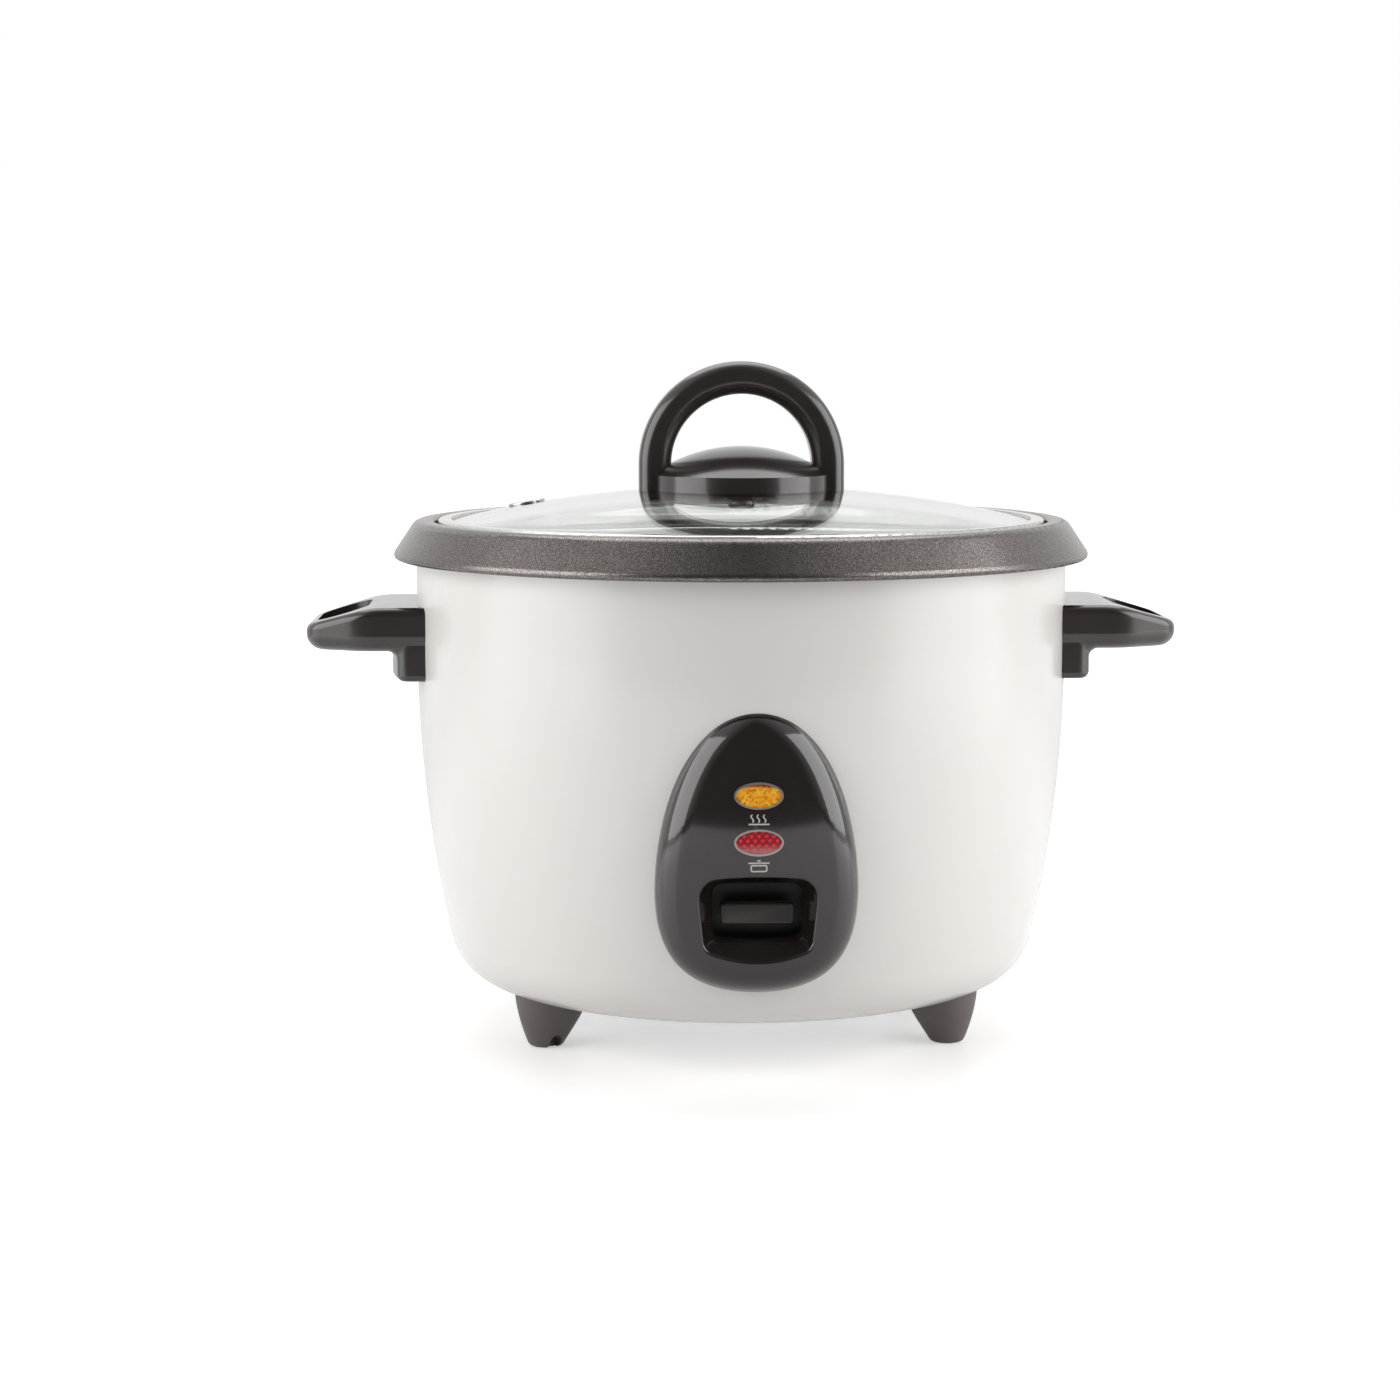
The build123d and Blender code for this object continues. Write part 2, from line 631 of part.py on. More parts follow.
def make_heat_reflector():
    wall = REFLECTOR_WALL
    tub = reflector_solid(0, SEAT_UNDERSIDE) - reflector_solid(wall, SEAT_UNDERSIDE + 1)
    flange_radius = BODY_INNER_RADIUS - 2 * FIT
    flange_low = SEAT_UNDERSIDE - wall
    tub += disc(flange_radius, flange_low, SEAT_UNDERSIDE, REFLECTOR_RADIUS - wall)
    tub -= disc(REFLECTOR_HOLE_RADIUS, REFLECTOR_FLOOR - 1, REFLECTOR_FLOOR_TOP + 1)
    for place in post_places(REFLECTOR_FLOOR):
        tub -= place * disc(SCREW_RADIUS + SCREW_PLAY, -1, wall + 1)
    for angle in TERMINAL_ANGLES:
        radius = TERMINAL_RADIUS + TERMINAL_HOLE_PLAY
        hole = disc(radius, REFLECTOR_FLOOR - 1, REFLECTOR_FLOOR_TOP + 1)
        tub -= around(angle, Pos(BEAD_RADIUS, 0, 0) * hole)
    return tub


def make_base_plate():
    step = BOTTOM_HOLE_RADIUS - 2 * FIT
    points = [
        (0, FOOT_HEIGHT),
        (step, FOOT_HEIGHT),
        (step, BASE_PLATE_BOTTOM),
        (BASE_RADIUS, BASE_PLATE_BOTTOM),
        (BASE_RADIUS, BASE_PLATE_TOP),
        (step - BASE_THICKNESS, BASE_PLATE_TOP),
        (step - BASE_THICKNESS, FOOT_HEIGHT + BASE_THICKNESS),
        (0, FOOT_HEIGHT + BASE_THICKNESS),
    ]
    plate = turned(section(points))
    slot = extrude(SlotOverall(VENT_LENGTH, VENT_WIDTH), 2 * BASE_THICKNESS)
    for index in range(VENT_COUNT):
        place = Pos(VENT_CIRCLE, 0, FOOT_HEIGHT - BASE_THICKNESS / 2)
        plate -= around((index + 0.5) * 360 / VENT_COUNT, place * slot)
    for place in foot_screw_places():
        plate -= place * screw_hole(2 * BASE_THICKNESS)
    return plate


def make_foot(angle):
    high = FOOT_HEIGHT + FOOT_TOP_RADIUS - FOOT_ROUND
    levels = [
        (FOOT_TIP_CIRCLE, FOOT_TIP_RADIUS, 0),
        ((FOOT_TIP_CIRCLE + FOOT_TOP_CIRCLE) / 2, FOOT_MIDDLE_RADIUS, FOOT_HEIGHT / 2),
        (FOOT_TOP_CIRCLE, FOOT_TOP_RADIUS, FOOT_HEIGHT),
        (FOOT_TOP_CIRCLE, FOOT_TOP_RADIUS + FIT, high),
    ]
    foot = loft([Pos(reach, 0, z) * Circle(radius) for reach, radius, z in levels])
    foot = fillet(foot.edges().group_by(Axis.Z)[0], FOOT_ROUND)
    notch = Plane.XZ * Pos(FOOT_TIP_CIRCLE, FOOT_NOTCH_RISE) * SlotCenterToCenter(
        2 * FOOT_NOTCH_RISE, 2 * FOOT_NOTCH_RADIUS, rotation=90
    )
    foot -= Pos(0, FOOT_NOTCH_INSET, 0) * extrude(notch, -FOOT_TOP_RADIUS)
    foot = around(angle, foot) - drum(0, high + 1)
    for place in foot_screw_places():
        foot -= place * screw_hole(FOOT_SCREW_LENGTH + SCREW_HOLE_SPARE)
    return foot


# ---- Side handles ----


def on_leg_seam(edge):
    """Whether an edge lies where the leg's outer face meets the handle's underside."""
    place = edge.center()
    level = abs(place.Z - HANDLE_UNDERSIDE) < 0.1 and abs(place.Y) < HANDLE_WIDTH / 4
    outer = BODY_RADIUS < place.X < BODY_RADIUS + HANDLE_LEG_THICKNESS + 1
    return level and outer and edge.length > HANDLE_LEG_CORNER


def on_tip(edge, level):
    """Whether an edge runs across the handle's tip at a height."""
    place = edge.center()
    return place.X > HANDLE_REACH - 0.1 and abs(place.Y) < 0.1 and abs(place.Z - level) < 0.1


def make_handle(side):
    root = BODY_RADIUS - HANDLE_LEG_THICKNESS
    profile = [
        (root, HANDLE_TOP),
        (HANDLE_REACH - HANDLE_SLOPE_LENGTH, HANDLE_TOP),
        (HANDLE_REACH, HANDLE_TOP - HANDLE_TIP_DROP),
        (HANDLE_REACH, HANDLE_UNDERSIDE),
        (root, HANDLE_UNDERSIDE),
    ]
    half, tip_half = HANDLE_WIDTH / 2, HANDLE_TIP_WIDTH / 2
    plan = [
        (root, -half),
        (HANDLE_REACH - HANDLE_TAPER_LENGTH, -half),
        (HANDLE_REACH, -tip_half),
        (HANDLE_REACH, tip_half),
        (HANDLE_REACH - HANDLE_TAPER_LENGTH, half),
        (root, half),
    ]
    blade = section(profile, [(1, HANDLE_SLOPE_ROUND)])
    side_rounds = [(1, HANDLE_SIDE_ROUND), (4, HANDLE_SIDE_ROUND)]
    tip_rounds = [(2, HANDLE_CORNER_ROUND), (3, HANDLE_CORNER_ROUND)]
    outline = section(plan, side_rounds + tip_rounds)
    wing = along_y(blade, half + 1, -half - 1)
    wing &= Pos(0, 0, HANDLE_LEG_BOTTOM) * extrude(outline, HANDLE_TOP)
    for level, radius in zip((HANDLE_UNDERSIDE, HANDLE_TOP - HANDLE_TIP_DROP), HANDLE_TIP_ROUNDS):
        wing = fillet([edge for edge in wing.edges() if on_tip(edge, level)], radius)

    leg_top = HANDLE_UNDERSIDE + HANDLE_LEG / 2
    leg = disc(BODY_RADIUS + HANDLE_LEG_THICKNESS, HANDLE_LEG_BOTTOM, leg_top)
    room = Box(BODY_RADIUS, HANDLE_WIDTH - 1, 2 * HANDLE_TOP)
    leg &= Pos(root + BODY_RADIUS / 2, 0, HANDLE_TOP) * room
    upright = leg.edges().filter_by(Axis.Z).sort_by(Axis.X)[-2:]
    leg = fillet(upright, HANDLE_LEG_CORNER)
    lower = [edge for edge in leg.faces().sort_by(Axis.Z)[0].edges() if edge.center().X > root + 1]
    leg = fillet(lower, HANDLE_LEG_ROUND)

    handle = wing + leg
    seam = [edge for edge in handle.edges() if on_leg_seam(edge)]
    handle = fillet(seam, HANDLE_INNER_ROUND) - drum(0, RING_TOP)
    hole = Pos(FINGER_HOLE_X, 0, HANDLE_LEG_BOTTOM) * Rot(0, 0, 90)
    hole *= extrude(SlotOverall(FINGER_HOLE[1], FINGER_HOLE[0]), HANDLE_TOP)
    handle -= hole
    if side < 0:
        handle = mirror(handle, Plane.YZ)
    for place in handle_screw_places(side):
        handle -= place * screw_hole(HANDLE_SCREW_LENGTH + SCREW_HOLE_SPARE)
    return handle


# ---- Control fascia ----


def crown(inset):
    """Solid behind the fascia's crowned face moved inward by inset."""
    low, high = FASCIA_BOTTOM - FASCIA_EDGE_ROUND, FASCIA_TOP + FASCIA_EDGE_ROUND
    reach = CROWN_FRONT + CROWN_AXIS_Y - inset
    curve = CROWN_RADIUS - inset

    def at(z):
        return (reach - curve + sqrt(curve**2 - (z - CROWN_HEIGHT) ** 2), z)

    middle = (reach, CROWN_HEIGHT)
    outline = [
        ThreePointArc(at(low), middle, at(high)),
        Line(at(high), (0, high)),
        Line((0, high), (0, low)),
        Line((0, low), at(low)),
    ]
    return Pos(0, CROWN_AXIS_Y, 0) * turned(make_face(outline))


def egg(inset):
    """The fascia's outline moved inward by inset, drawn as (x, z)."""
    wide, top, bottom = FASCIA_WIDTH / 2 - inset, FASCIA_TOP - inset, FASCIA_BOTTOM + inset
    widest = FASCIA_BOTTOM + FASCIA_WIDEST_RISE
    shoulder = (wide, widest + UPPER_PULL[1] * (top - widest))
    cheek = (wide, widest - LOWER_PULL[1] * (widest - bottom))
    upper = Bezier((0, top), (UPPER_PULL[0] * wide, top), shoulder, (wide, widest))
    lower = Bezier((wide, widest), cheek, (LOWER_PULL[0] * wide, bottom), (0, bottom))
    right = [upper, lower]
    return make_face(right + [mirror(edge, Plane.YZ) for edge in right])


def pocket_outline(width, height, sag, taper, rounds):
    """Pocket's outline about its middle: the lower edge bows down and is a little narrower."""
    half, top = width / 2, height / 2
    low_half, shoulder, low = half - taper, top - sag / 3, sag - top
    outline = make_face(
        [
            ThreePointArc((-half, shoulder), (0, top), (half, shoulder)),
            Line((half, shoulder), (low_half, low)),
            ThreePointArc((low_half, low), (0, -top), (-low_half, low)),
            Line((-low_half, low), (-half, shoulder)),
        ]
    )
    lower, upper = outline.vertices().group_by(Axis.Y)
    outline = fillet(upper, rounds[0])
    return fillet([v for v in outline.vertices() if abs(v.Y - low) < 0.01], rounds[1])


def pocket(grow, spare=0.0):
    """The lever pocket, tapering to its well, its sides moved outward by grow and its back by spare."""
    front_y = -CROWN_FRONT - POCKET_WALL
    slope = (POCKET_WELL_Y - front_y) / POCKET_DEPTH

    def at_front(well, mouth):
        return well + slope * (mouth - well)

    width, height = (side + 2 * grow for side in POCKET_WELL)
    rounds = [radius + grow for radius in POCKET_WELL_ROUNDS]
    well = pocket_outline(width, height, POCKET_WELL_SAG, POCKET_WELL_TAPER, rounds)
    well = Pos(0, POCKET_WELL_Z) * well
    sag = at_front(POCKET_WELL_SAG, POCKET_MOUTH_SAG)
    taper = at_front(POCKET_WELL_TAPER, POCKET_MOUTH_TAPER)
    width, height = (at_front(*pair) + 2 * grow for pair in zip(POCKET_WELL, POCKET_MOUTH))
    rounds = [radius + grow for radius in POCKET_MOUTH_ROUNDS]
    mouth = pocket_outline(width, height, sag, taper, rounds)
    mouth = Pos(0, at_front(POCKET_WELL_Z, POCKET_MOUTH_Z)) * mouth
    sections = [Plane.XZ.offset(-POCKET_WELL_Y) * well, Plane.XZ.offset(-front_y) * mouth]
    return loft(sections) + along_y(well, POCKET_BACK_Y + spare, POCKET_WELL_Y)


def lens_outline(z, grow=0.0):
    return Pos(0, z) * Ellipse(LENS_SIZE[0] / 2 + grow, LENS_SIZE[1] / 2 + grow)


def on_pocket_lip(point):
    """Whether a point on the crowned face belongs to the pocket's mouth."""
    across, up = abs(point.X), abs(point.Z - POCKET_MOUTH_Z)
    near = across < POCKET_MOUTH[0] / 2 + 1 and up < POCKET_MOUTH[1] / 2 + 1
    return near and abs(point.Y - crown_y(point.X, point.Z)) < 0.3


def pebble(inset):
    """The fascia as a full solid, crowned and rounded, moved inward by inset."""
    back_y = -BODY_RADIUS + CORNER_RADIUS
    solid = along_y(egg(inset), back_y, -2 * CROWN_FRONT) & crown(inset)
    rim = [edge for edge in solid.edges() if edge.center().Y < back_y - 1]
    return fillet(rim, FASCIA_EDGE_ROUND - inset)


def make_control_fascia():
    front_y, back_y = -2 * CROWN_FRONT, -BODY_RADIUS + CORNER_RADIUS
    outside = pebble(0)
    body = drum(0, BODY_TOP)
    fascia = outside - pebble(FASCIA_WALL) - body
    fascia += pocket(POCKET_WALL) & outside
    for x, rise in FASCIA_SCREWS:
        boss_outline = Pos(x, FASCIA_BOTTOM + rise) * Circle(2 * SCREW_RADIUS)
        boss = along_y(boss_outline, back_y, front_y)
        fascia += (boss & pebble(FASCIA_WALL / 2)) - body
    fascia -= pocket(0, spare=FASCIA_WALL)
    lip = [edge for edge in fascia.edges() if on_pocket_lip(edge.center())]
    fascia = fillet(lip, POCKET_LIP_ROUND)
    slit = Box(PRY_SLIT[0], 2 * PRY_SLIT_DEPTH, 2 * PRY_SLIT[1])
    fascia -= Pos(0, -drum_radius(FASCIA_BOTTOM), FASCIA_BOTTOM) * slit
    for z in (AMBER_Z, RED_Z):
        fascia -= along_y(lens_outline(z, BEZEL_WIDTH), back_y, front_y)
    for place, length in fascia_screws():
        fascia -= place * screw_hole(length + SCREW_HOLE_SPARE)
    return fascia


def make_lens(z):
    tail = along_y(lens_outline(z), LENS_BACK_Y, -2 * CROWN_FRONT)
    return tail & crown(-LENS_PROUD)


def make_lens_bezels():
    bezels = []
    for z in (AMBER_Z, RED_Z):
        outline = lens_outline(z, BEZEL_WIDTH) - lens_outline(z)
        back = -CROWN_FRONT + 1.5 * FASCIA_WALL
        bezels.append(along_y(outline, back, -2 * CROWN_FRONT) & crown(-BEZEL_PROUD))
    return Compound(bezels)


def lamp_axis_y():
    return LENS_BACK_Y + LAMP_RADIUS + LAMP_PLAY


def make_lamp_holder():
    width, depth, height = HOLDER_SIZE
    front = LENS_BACK_Y - HOLDER_LAP
    block = Pos(0, front + depth / 2, LENS_MIDDLE_Z) * Box(width, depth, height)
    block = fillet(block.edges().filter_by(Axis.Y), WINDOW_PLAY)
    for z in (AMBER_Z, RED_Z):
        block -= along_y(lens_outline(z, SCREW_PLAY), LENS_BACK_Y, front - 1)
        lamp = Pos(0, lamp_axis_y(), z) * Rot(0, 90, 0)
        block -= lamp * Cylinder(LAMP_RADIUS + LAMP_PLAY, LAMP_LENGTH)
        light = Box(LAMP_LENGTH - 1, LAMP_RADIUS, 2 * LAMP_RADIUS)
        block -= Pos(0, lamp_axis_y() - LAMP_RADIUS / 2, z) * light
    return block


def make_neon_lamps():
    lamp = Rot(0, 90, 0) * Cylinder(LAMP_RADIUS, LAMP_LENGTH)
    lamp = fillet(lamp.edges(), LAMP_RADIUS / 2)
    return Compound([Pos(0, lamp_axis_y(), z) * lamp for z in (AMBER_Z, RED_Z)])


# ---- Cook lever ----


def make_lever_paddle():
    bar = Pos(0, PADDLE_FRONT_Y + PADDLE_DEPTH / 2, PADDLE_Z)
    bar *= Box(PADDLE_WIDTH, PADDLE_DEPTH, PADDLE_HEIGHT)
    bar = fillet(bar.edges().filter_by(Axis.Y), PADDLE_CORNER_ROUND)
    front = [edge for edge in bar.edges() if abs(edge.center().Y - PADDLE_FRONT_Y) < 0.01]
    bar = fillet(front, PADDLE_FRONT_ROUND)
    return bar - Pos(0, PADDLE_BACK_Y, PADDLE_Z) * lever_slot(2 * PADDLE_SOCKET)


def lever_slot(depth):
    """Room for the lever's strip with a little play, about its middle."""
    return Box(LEVER_WIDTH + 2 * PIN_PLAY, depth, LEVER_THICKNESS + 2 * PIN_PLAY)


def make_lever_shield():
    """Plate on the lever that keeps the pocket's open back shut in every position."""
    width, thickness, height = SHIELD_SIZE
    plate = RectangleRounded(width, height, POCKET_WELL_ROUNDS[1])
    front_y = POCKET_BACK_Y + SHIELD_SETBACK
    plate = along_y(Pos(0, POCKET_WELL_Z + SHIELD_RISE) * plate, front_y + thickness, front_y)
    return plate - Pos(0, front_y, PADDLE_Z) * lever_slot(4 * thickness)


def at_pivot(solid):
    """Solid drawn about Z moved to the lever's pivot, with its Z along the pin."""
    return Pos(0, PIVOT_Y, PIVOT_Z) * Rot(0, 90, 0) * solid


def strip(line, width):
    """Flat strip of the lever's thickness along a line drawn as (y, z)."""
    return extrude(Plane.YZ * trace(line, LEVER_THICKNESS), width / 2, both=True)


def make_cook_lever():
    outer = FilletPolyline(
        (PIVOT_Y, PIVOT_Z),
        (LEVER_LEG_Y, PIVOT_Z + ELBOW_RISE),
        (LEVER_LEG_Y, PADDLE_Z),
        (PADDLE_BACK_Y - PADDLE_SOCKET / 2, PADDLE_Z),
        radius=LEVER_BEND,
    )
    tail_end = (PIVOT_Y + TAIL_LENGTH, NOSE_Z + TAIL_RISE)
    lever = strip(outer, LEVER_WIDTH) + strip(Line((PIVOT_Y, PIVOT_Z), tail_end), LEVER_WIDTH)
    lever += at_pivot(Cylinder(BOSS_RADIUS, LEVER_WIDTH))
    fork = strip(Line((-FORK_LENGTH, NOSE_Z + FORK_SLOPE), (0, NOSE_Z)), FORK_WIDTH)
    fork += Pos(0, 0, NOSE_Z) * Rot(0, 90, 0) * Cylinder(NOSE_RADIUS, FORK_WIDTH)
    fork -= Pos(0, 0, NOSE_Z) * Box(FORK_GAP, 2 * FORK_GAP_REACH, 4 * STEM_TAIL)
    tab = Box(SWITCH_TAB[0], SWITCH_TAB[1], LEVER_THICKNESS)
    tab_place = Pos(
        LEVER_WIDTH / 2 + SWITCH_TAB[0] / 3, PIVOT_Y + SWITCH_TAB_OFFSET, PIVOT_Z - SWITCH_TAB_DROP
    )
    return lever + fork + tab_place * tab - at_pivot(Cylinder(PIN_RADIUS + PIN_PLAY, 3 * LEVER_WIDTH))


def make_lever_pivot_pin():
    return at_pivot(Cylinder(PIN_RADIUS, BRACKET_WIDTH + 2 * PIN_PROUD))


def make_lever_bracket():
    low, high = PIVOT_Z - BRACKET_TAIL, REFLECTOR_FLOOR
    middle = Pos(0, PIVOT_Y, (low + high) / 2)
    bracket = middle * Box(BRACKET_WIDTH, BRACKET_DEPTH, high - low)
    room = Box(BRACKET_INSIDE, 2 * BRACKET_DEPTH, high - low)
    bracket -= Pos(0, 0, -BRACKET_WALL) * middle * room
    return bracket - at_pivot(Cylinder(PIN_RADIUS, 3 * LEVER_WIDTH))


def make_microswitch():
    low = PIVOT_Z + SWITCH_LIFT
    case = Box(SWITCH_WIDTH, SWITCH_LENGTH, REFLECTOR_FLOOR - low)
    case = Pos(SWITCH_X, SWITCH_Y, (low + REFLECTOR_FLOOR) / 2) * case
    case = fillet(case.edges().filter_by(Axis.X), SWITCH_ROUND)
    plunger = Box(PLUNGER_SIZE, PLUNGER_SIZE, 0.8 * PLUNGER_SIZE)
    return case + Pos(SWITCH_X, SWITCH_Y + PLUNGER_SHIFT, low) * plunger


# ---- Heating plate and thermostat ----


def make_heating_plate():
    inner, outer = BEAD_RADIUS - BEAD_WIDTH / 2, BEAD_RADIUS + BEAD_WIDTH / 2
    low = PLATE_UNDERSIDE - BEAD_DEPTH
    points = [
        (PLATE_HOLE_RADIUS, PLATE_UNDERSIDE),
        (PLATE_HOLE_RADIUS, PLATE_TOP),
        (PLATE_RADIUS, PLATE_TOP),
        (PLATE_RADIUS, PLATE_UNDERSIDE),
        (outer, PLATE_UNDERSIDE),
        (outer - BEAD_DRAFT, low),
        (inner + BEAD_DRAFT, low),
        (inner, PLATE_UNDERSIDE),
    ]
    rounds = list(enumerate(PLATE_ROUNDS, start=1)) + [(5, BEAD_ROUND), (6, BEAD_ROUND)]
    plate = turned(section(points, rounds))
    for place in post_places(PLATE_UNDERSIDE):
        plate -= place * disc(SCREW_RADIUS + SCREW_PLAY, -1, PLATE_SCREW_BITE + SCREW_HOLE_SPARE)
    return plate


def make_plate_posts():
    height = PLATE_UNDERSIDE - REFLECTOR_FLOOR_TOP
    post = disc(POST_RADIUS, 0, height, SCREW_RADIUS + SCREW_PLAY)
    return Compound([place * post for place in post_places(REFLECTOR_FLOOR_TOP)])


def make_plate_screws():
    screw = pan_screw(PLATE_UNDERSIDE - REFLECTOR_FLOOR + PLATE_SCREW_BITE)
    return Compound([place * screw for place in post_places(REFLECTOR_FLOOR)])


def make_plate_terminals():
    high = PLATE_UNDERSIDE - BEAD_DEPTH
    rod = disc(TERMINAL_RADIUS, high - TERMINAL_LENGTH, high)
    rods = [around(angle, Pos(BEAD_RADIUS, 0, 0) * rod) for angle in TERMINAL_ANGLES]
    return Compound(rods)


def make_sensor_cap():
    low = SENSOR_TOP - SENSOR_SKIRT
    cap = disc(SENSOR_RADIUS, low, SENSOR_TOP)
    cap = fillet(cap.edges().group_by(Axis.Z)[-1], SENSOR_ROUND)
    cap -= disc(SENSOR_RADIUS - SENSOR_WALL, low - 1, FERRITE_TOP)
    flange_radius = SENSOR_RADIUS + SENSOR_FLANGE_WIDTH
    flange = disc(flange_radius, SENSOR_FLANGE_TOP - SENSOR_WALL, SENSOR_FLANGE_TOP)
    return cap + flange - disc(SENSOR_RADIUS - SENSOR_WALL, low - 1, FERRITE_TOP)


def make_sensor_spring():
    wire = SPRING_WIRE_RADIUS
    low = CUP_BOTTOM + CUP_WALL + wire
    high = SENSOR_FLANGE_TOP - SENSOR_WALL - wire
    radius = SENSOR_RADIUS + SENSOR_FLANGE_WIDTH / 2
    coil = Helix((high - low) / SPRING_TURNS, high - low, radius, center=(0, 0, low))
    return sweep(Plane(coil @ 0, z_dir=coil % 0) * Circle(wire), path=coil)


def make_magnet_holder():
    tray_bottom = MAGNET_BOTTOM - HOLDER_THICKNESS
    tray = disc(MAGNET_RADIUS + HOLDER_RIM, tray_bottom, MAGNET_BOTTOM)
    stem = disc(STEM_RADIUS, STEM_BOTTOM, tray_bottom)
    collar = disc(COLLAR_RADIUS, COLLAR_BOTTOM, COLLAR_BOTTOM + HOLDER_THICKNESS)
    return tray + stem + collar


def make_thermostat_cup():
    cup = disc(CUP_RADIUS, CUP_BOTTOM, REFLECTOR_FLOOR)
    cup -= disc(CUP_RADIUS - CUP_WALL, CUP_BOTTOM + CUP_WALL, REFLECTOR_FLOOR + 1)
    flange_low = REFLECTOR_FLOOR - CUP_WALL
    cup += disc(CUP_RADIUS + CUP_FLANGE_WIDTH, flange_low, REFLECTOR_FLOOR, CUP_RADIUS - CUP_WALL)
    return cup - disc(STEM_RADIUS + 2 * SCREW_PLAY, CUP_BOTTOM - 1, CUP_BOTTOM + 2)


# ---- Electrical parts under the reflector ----


def make_keep_warm_heater():
    low = REFLECTOR_FLOOR + BAND_RISE
    return disc(REFLECTOR_RADIUS + BAND_THICKNESS, low, low + BAND_HEIGHT, REFLECTOR_RADIUS)


def make_thermal_fuse():
    place = Pos(FUSE_PLACE[0], FUSE_PLACE[1], REFLECTOR_FLOOR - FUSE_RADIUS - FUSE_CLIP)
    barrel = Rot(0, 90, 0) * Cylinder(FUSE_RADIUS, FUSE_LENGTH)
    fuse = fillet(barrel.edges(), FUSE_RADIUS / 3)
    band = Rot(0, 90, 0) * Cylinder(FUSE_RADIUS + FUSE_CLIP, FUSE_CLIP_WIDTH)
    foot = Box(FUSE_CLIP_WIDTH, 5 * FUSE_RADIUS, FUSE_CLIP)
    clip = band + Pos(0, 0, FUSE_RADIUS + FUSE_CLIP / 2) * foot - barrel
    return place * Compound([fuse, clip])


def make_terminal_block():
    width, depth, height = BLOCK_SIZE
    low = FOOT_HEIGHT + BASE_THICKNESS
    block = Pos(0, BLOCK_Y, low + height / 2) * Box(width, depth, height)
    block = fillet(block.edges().filter_by(Axis.Z), BLOCK_ROUND)
    wire_hole = Rot(90, 0, 0) * Cylinder(BLOCK_WIRE_RADIUS, 2 * depth)
    screw_well = Cylinder(BLOCK_SCREW_RADIUS, 2 * BLOCK_SCREW_DEPTH)
    for x in (-BLOCK_PITCH, 0, BLOCK_PITCH):
        block -= Pos(x, BLOCK_Y, low + BLOCK_WIRE_RISE) * wire_hole
        block -= Pos(x, BLOCK_Y, low + height) * screw_well
    return block


def inlet_pin_outlines():
    places = (-INLET_PIN_PITCH, 0, INLET_PIN_PITCH)
    return [Pos(x, INLET_Z) * Circle(INLET_PIN_RADIUS) for x in places]


def make_power_inlet():
    flange = Pos(0, INLET_Z) * RectangleRounded(*INLET_SIZE, INLET_CORNER)
    outer = along_y(flange, INLET_FRONT_Y, BODY_RADIUS / 2)
    outer = fillet(outer.faces().sort_by(Axis.Y)[-1].edges(), INLET_FRONT_ROUND) - drum(0, BODY_TOP)
    neck = Pos(0, INLET_Z) * RectangleRounded(*INLET_NECK, INLET_PIN_RADIUS)
    block = outer + along_y(neck, INLET_FRONT_Y - INLET_LENGTH / 3, INLET_BACK_Y)
    socket = Pos(0, INLET_Z) * RectangleRounded(*SOCKET_SIZE, SOCKET_CORNER)
    block -= along_y(socket, INLET_FRONT_Y + 1, INLET_FRONT_Y - SOCKET_DEPTH)
    for outline in inlet_pin_outlines():
        block -= along_y(outline, INLET_FRONT_Y, INLET_BACK_Y - 1)
    return block


def make_inlet_pins():
    pins = []
    for outline in inlet_pin_outlines():
        pin = along_y(outline, INLET_FRONT_Y - INLET_PIN_RECESS, INLET_BACK_Y - INLET_PIN_TAIL)
        pins.append(fillet(pin.edges().sort_by(Axis.Y)[-1], INLET_PIN_RADIUS / 2))
    return Compound(pins)


# ---- Pot and lid ----


def make_inner_pot():
    points = [
        (0, POT_BOTTOM),
        (POT_RADIUS, POT_BOTTOM),
        (POT_RADIUS, SEAT_Z),
        (POT_FLANGE_RADIUS, SEAT_Z),
        (POT_FLANGE_RADIUS, POT_FLANGE_TOP),
        (POT_RADIUS - POT_WALL, POT_FLANGE_TOP),
        (POT_RADIUS - POT_WALL, POT_BOTTOM + POT_WALL),
        (0, POT_BOTTOM + POT_WALL),
    ]
    rounds = [(1, POT_CORNER), (3, POT_FLANGE_ROUND), (4, POT_FLANGE_ROUND)]
    rounds += [(5, POT_MOUTH_ROUND), (6, POT_CORNER - POT_WALL)]
    return turned(section(points, rounds))


def vent_place():
    """Frame on the glass's top face at the steam vent, with Z along the glass's normal."""
    reach = GLASS_RADIUS - VENT_INSET
    x, y = reach * cos(radians(VENT_ANGLE)), reach * sin(radians(VENT_ANGLE))
    foot = Vector(x, y, glass_height(GLASS_CURVE, reach))
    return Plane(foot, z_dir=foot - Vector(0, 0, GLASS_CENTRE_Z))


def make_lid_glass():
    glass = disc(GLASS_RADIUS, GLASS_TOP - GLASS_SAG - 1, GLASS_TOP + 1) & glass_sheet()
    glass -= disc(KNOB_SCREW_RADIUS + LID_RIM_WALL, GLASS_TOP - 2 * GLASS_THICKNESS, GLASS_TOP + 1)
    bore = disc(EYELET_TUBE_RADIUS + FIT, -2 * GLASS_THICKNESS, GLASS_THICKNESS)
    return glass - vent_place() * bore


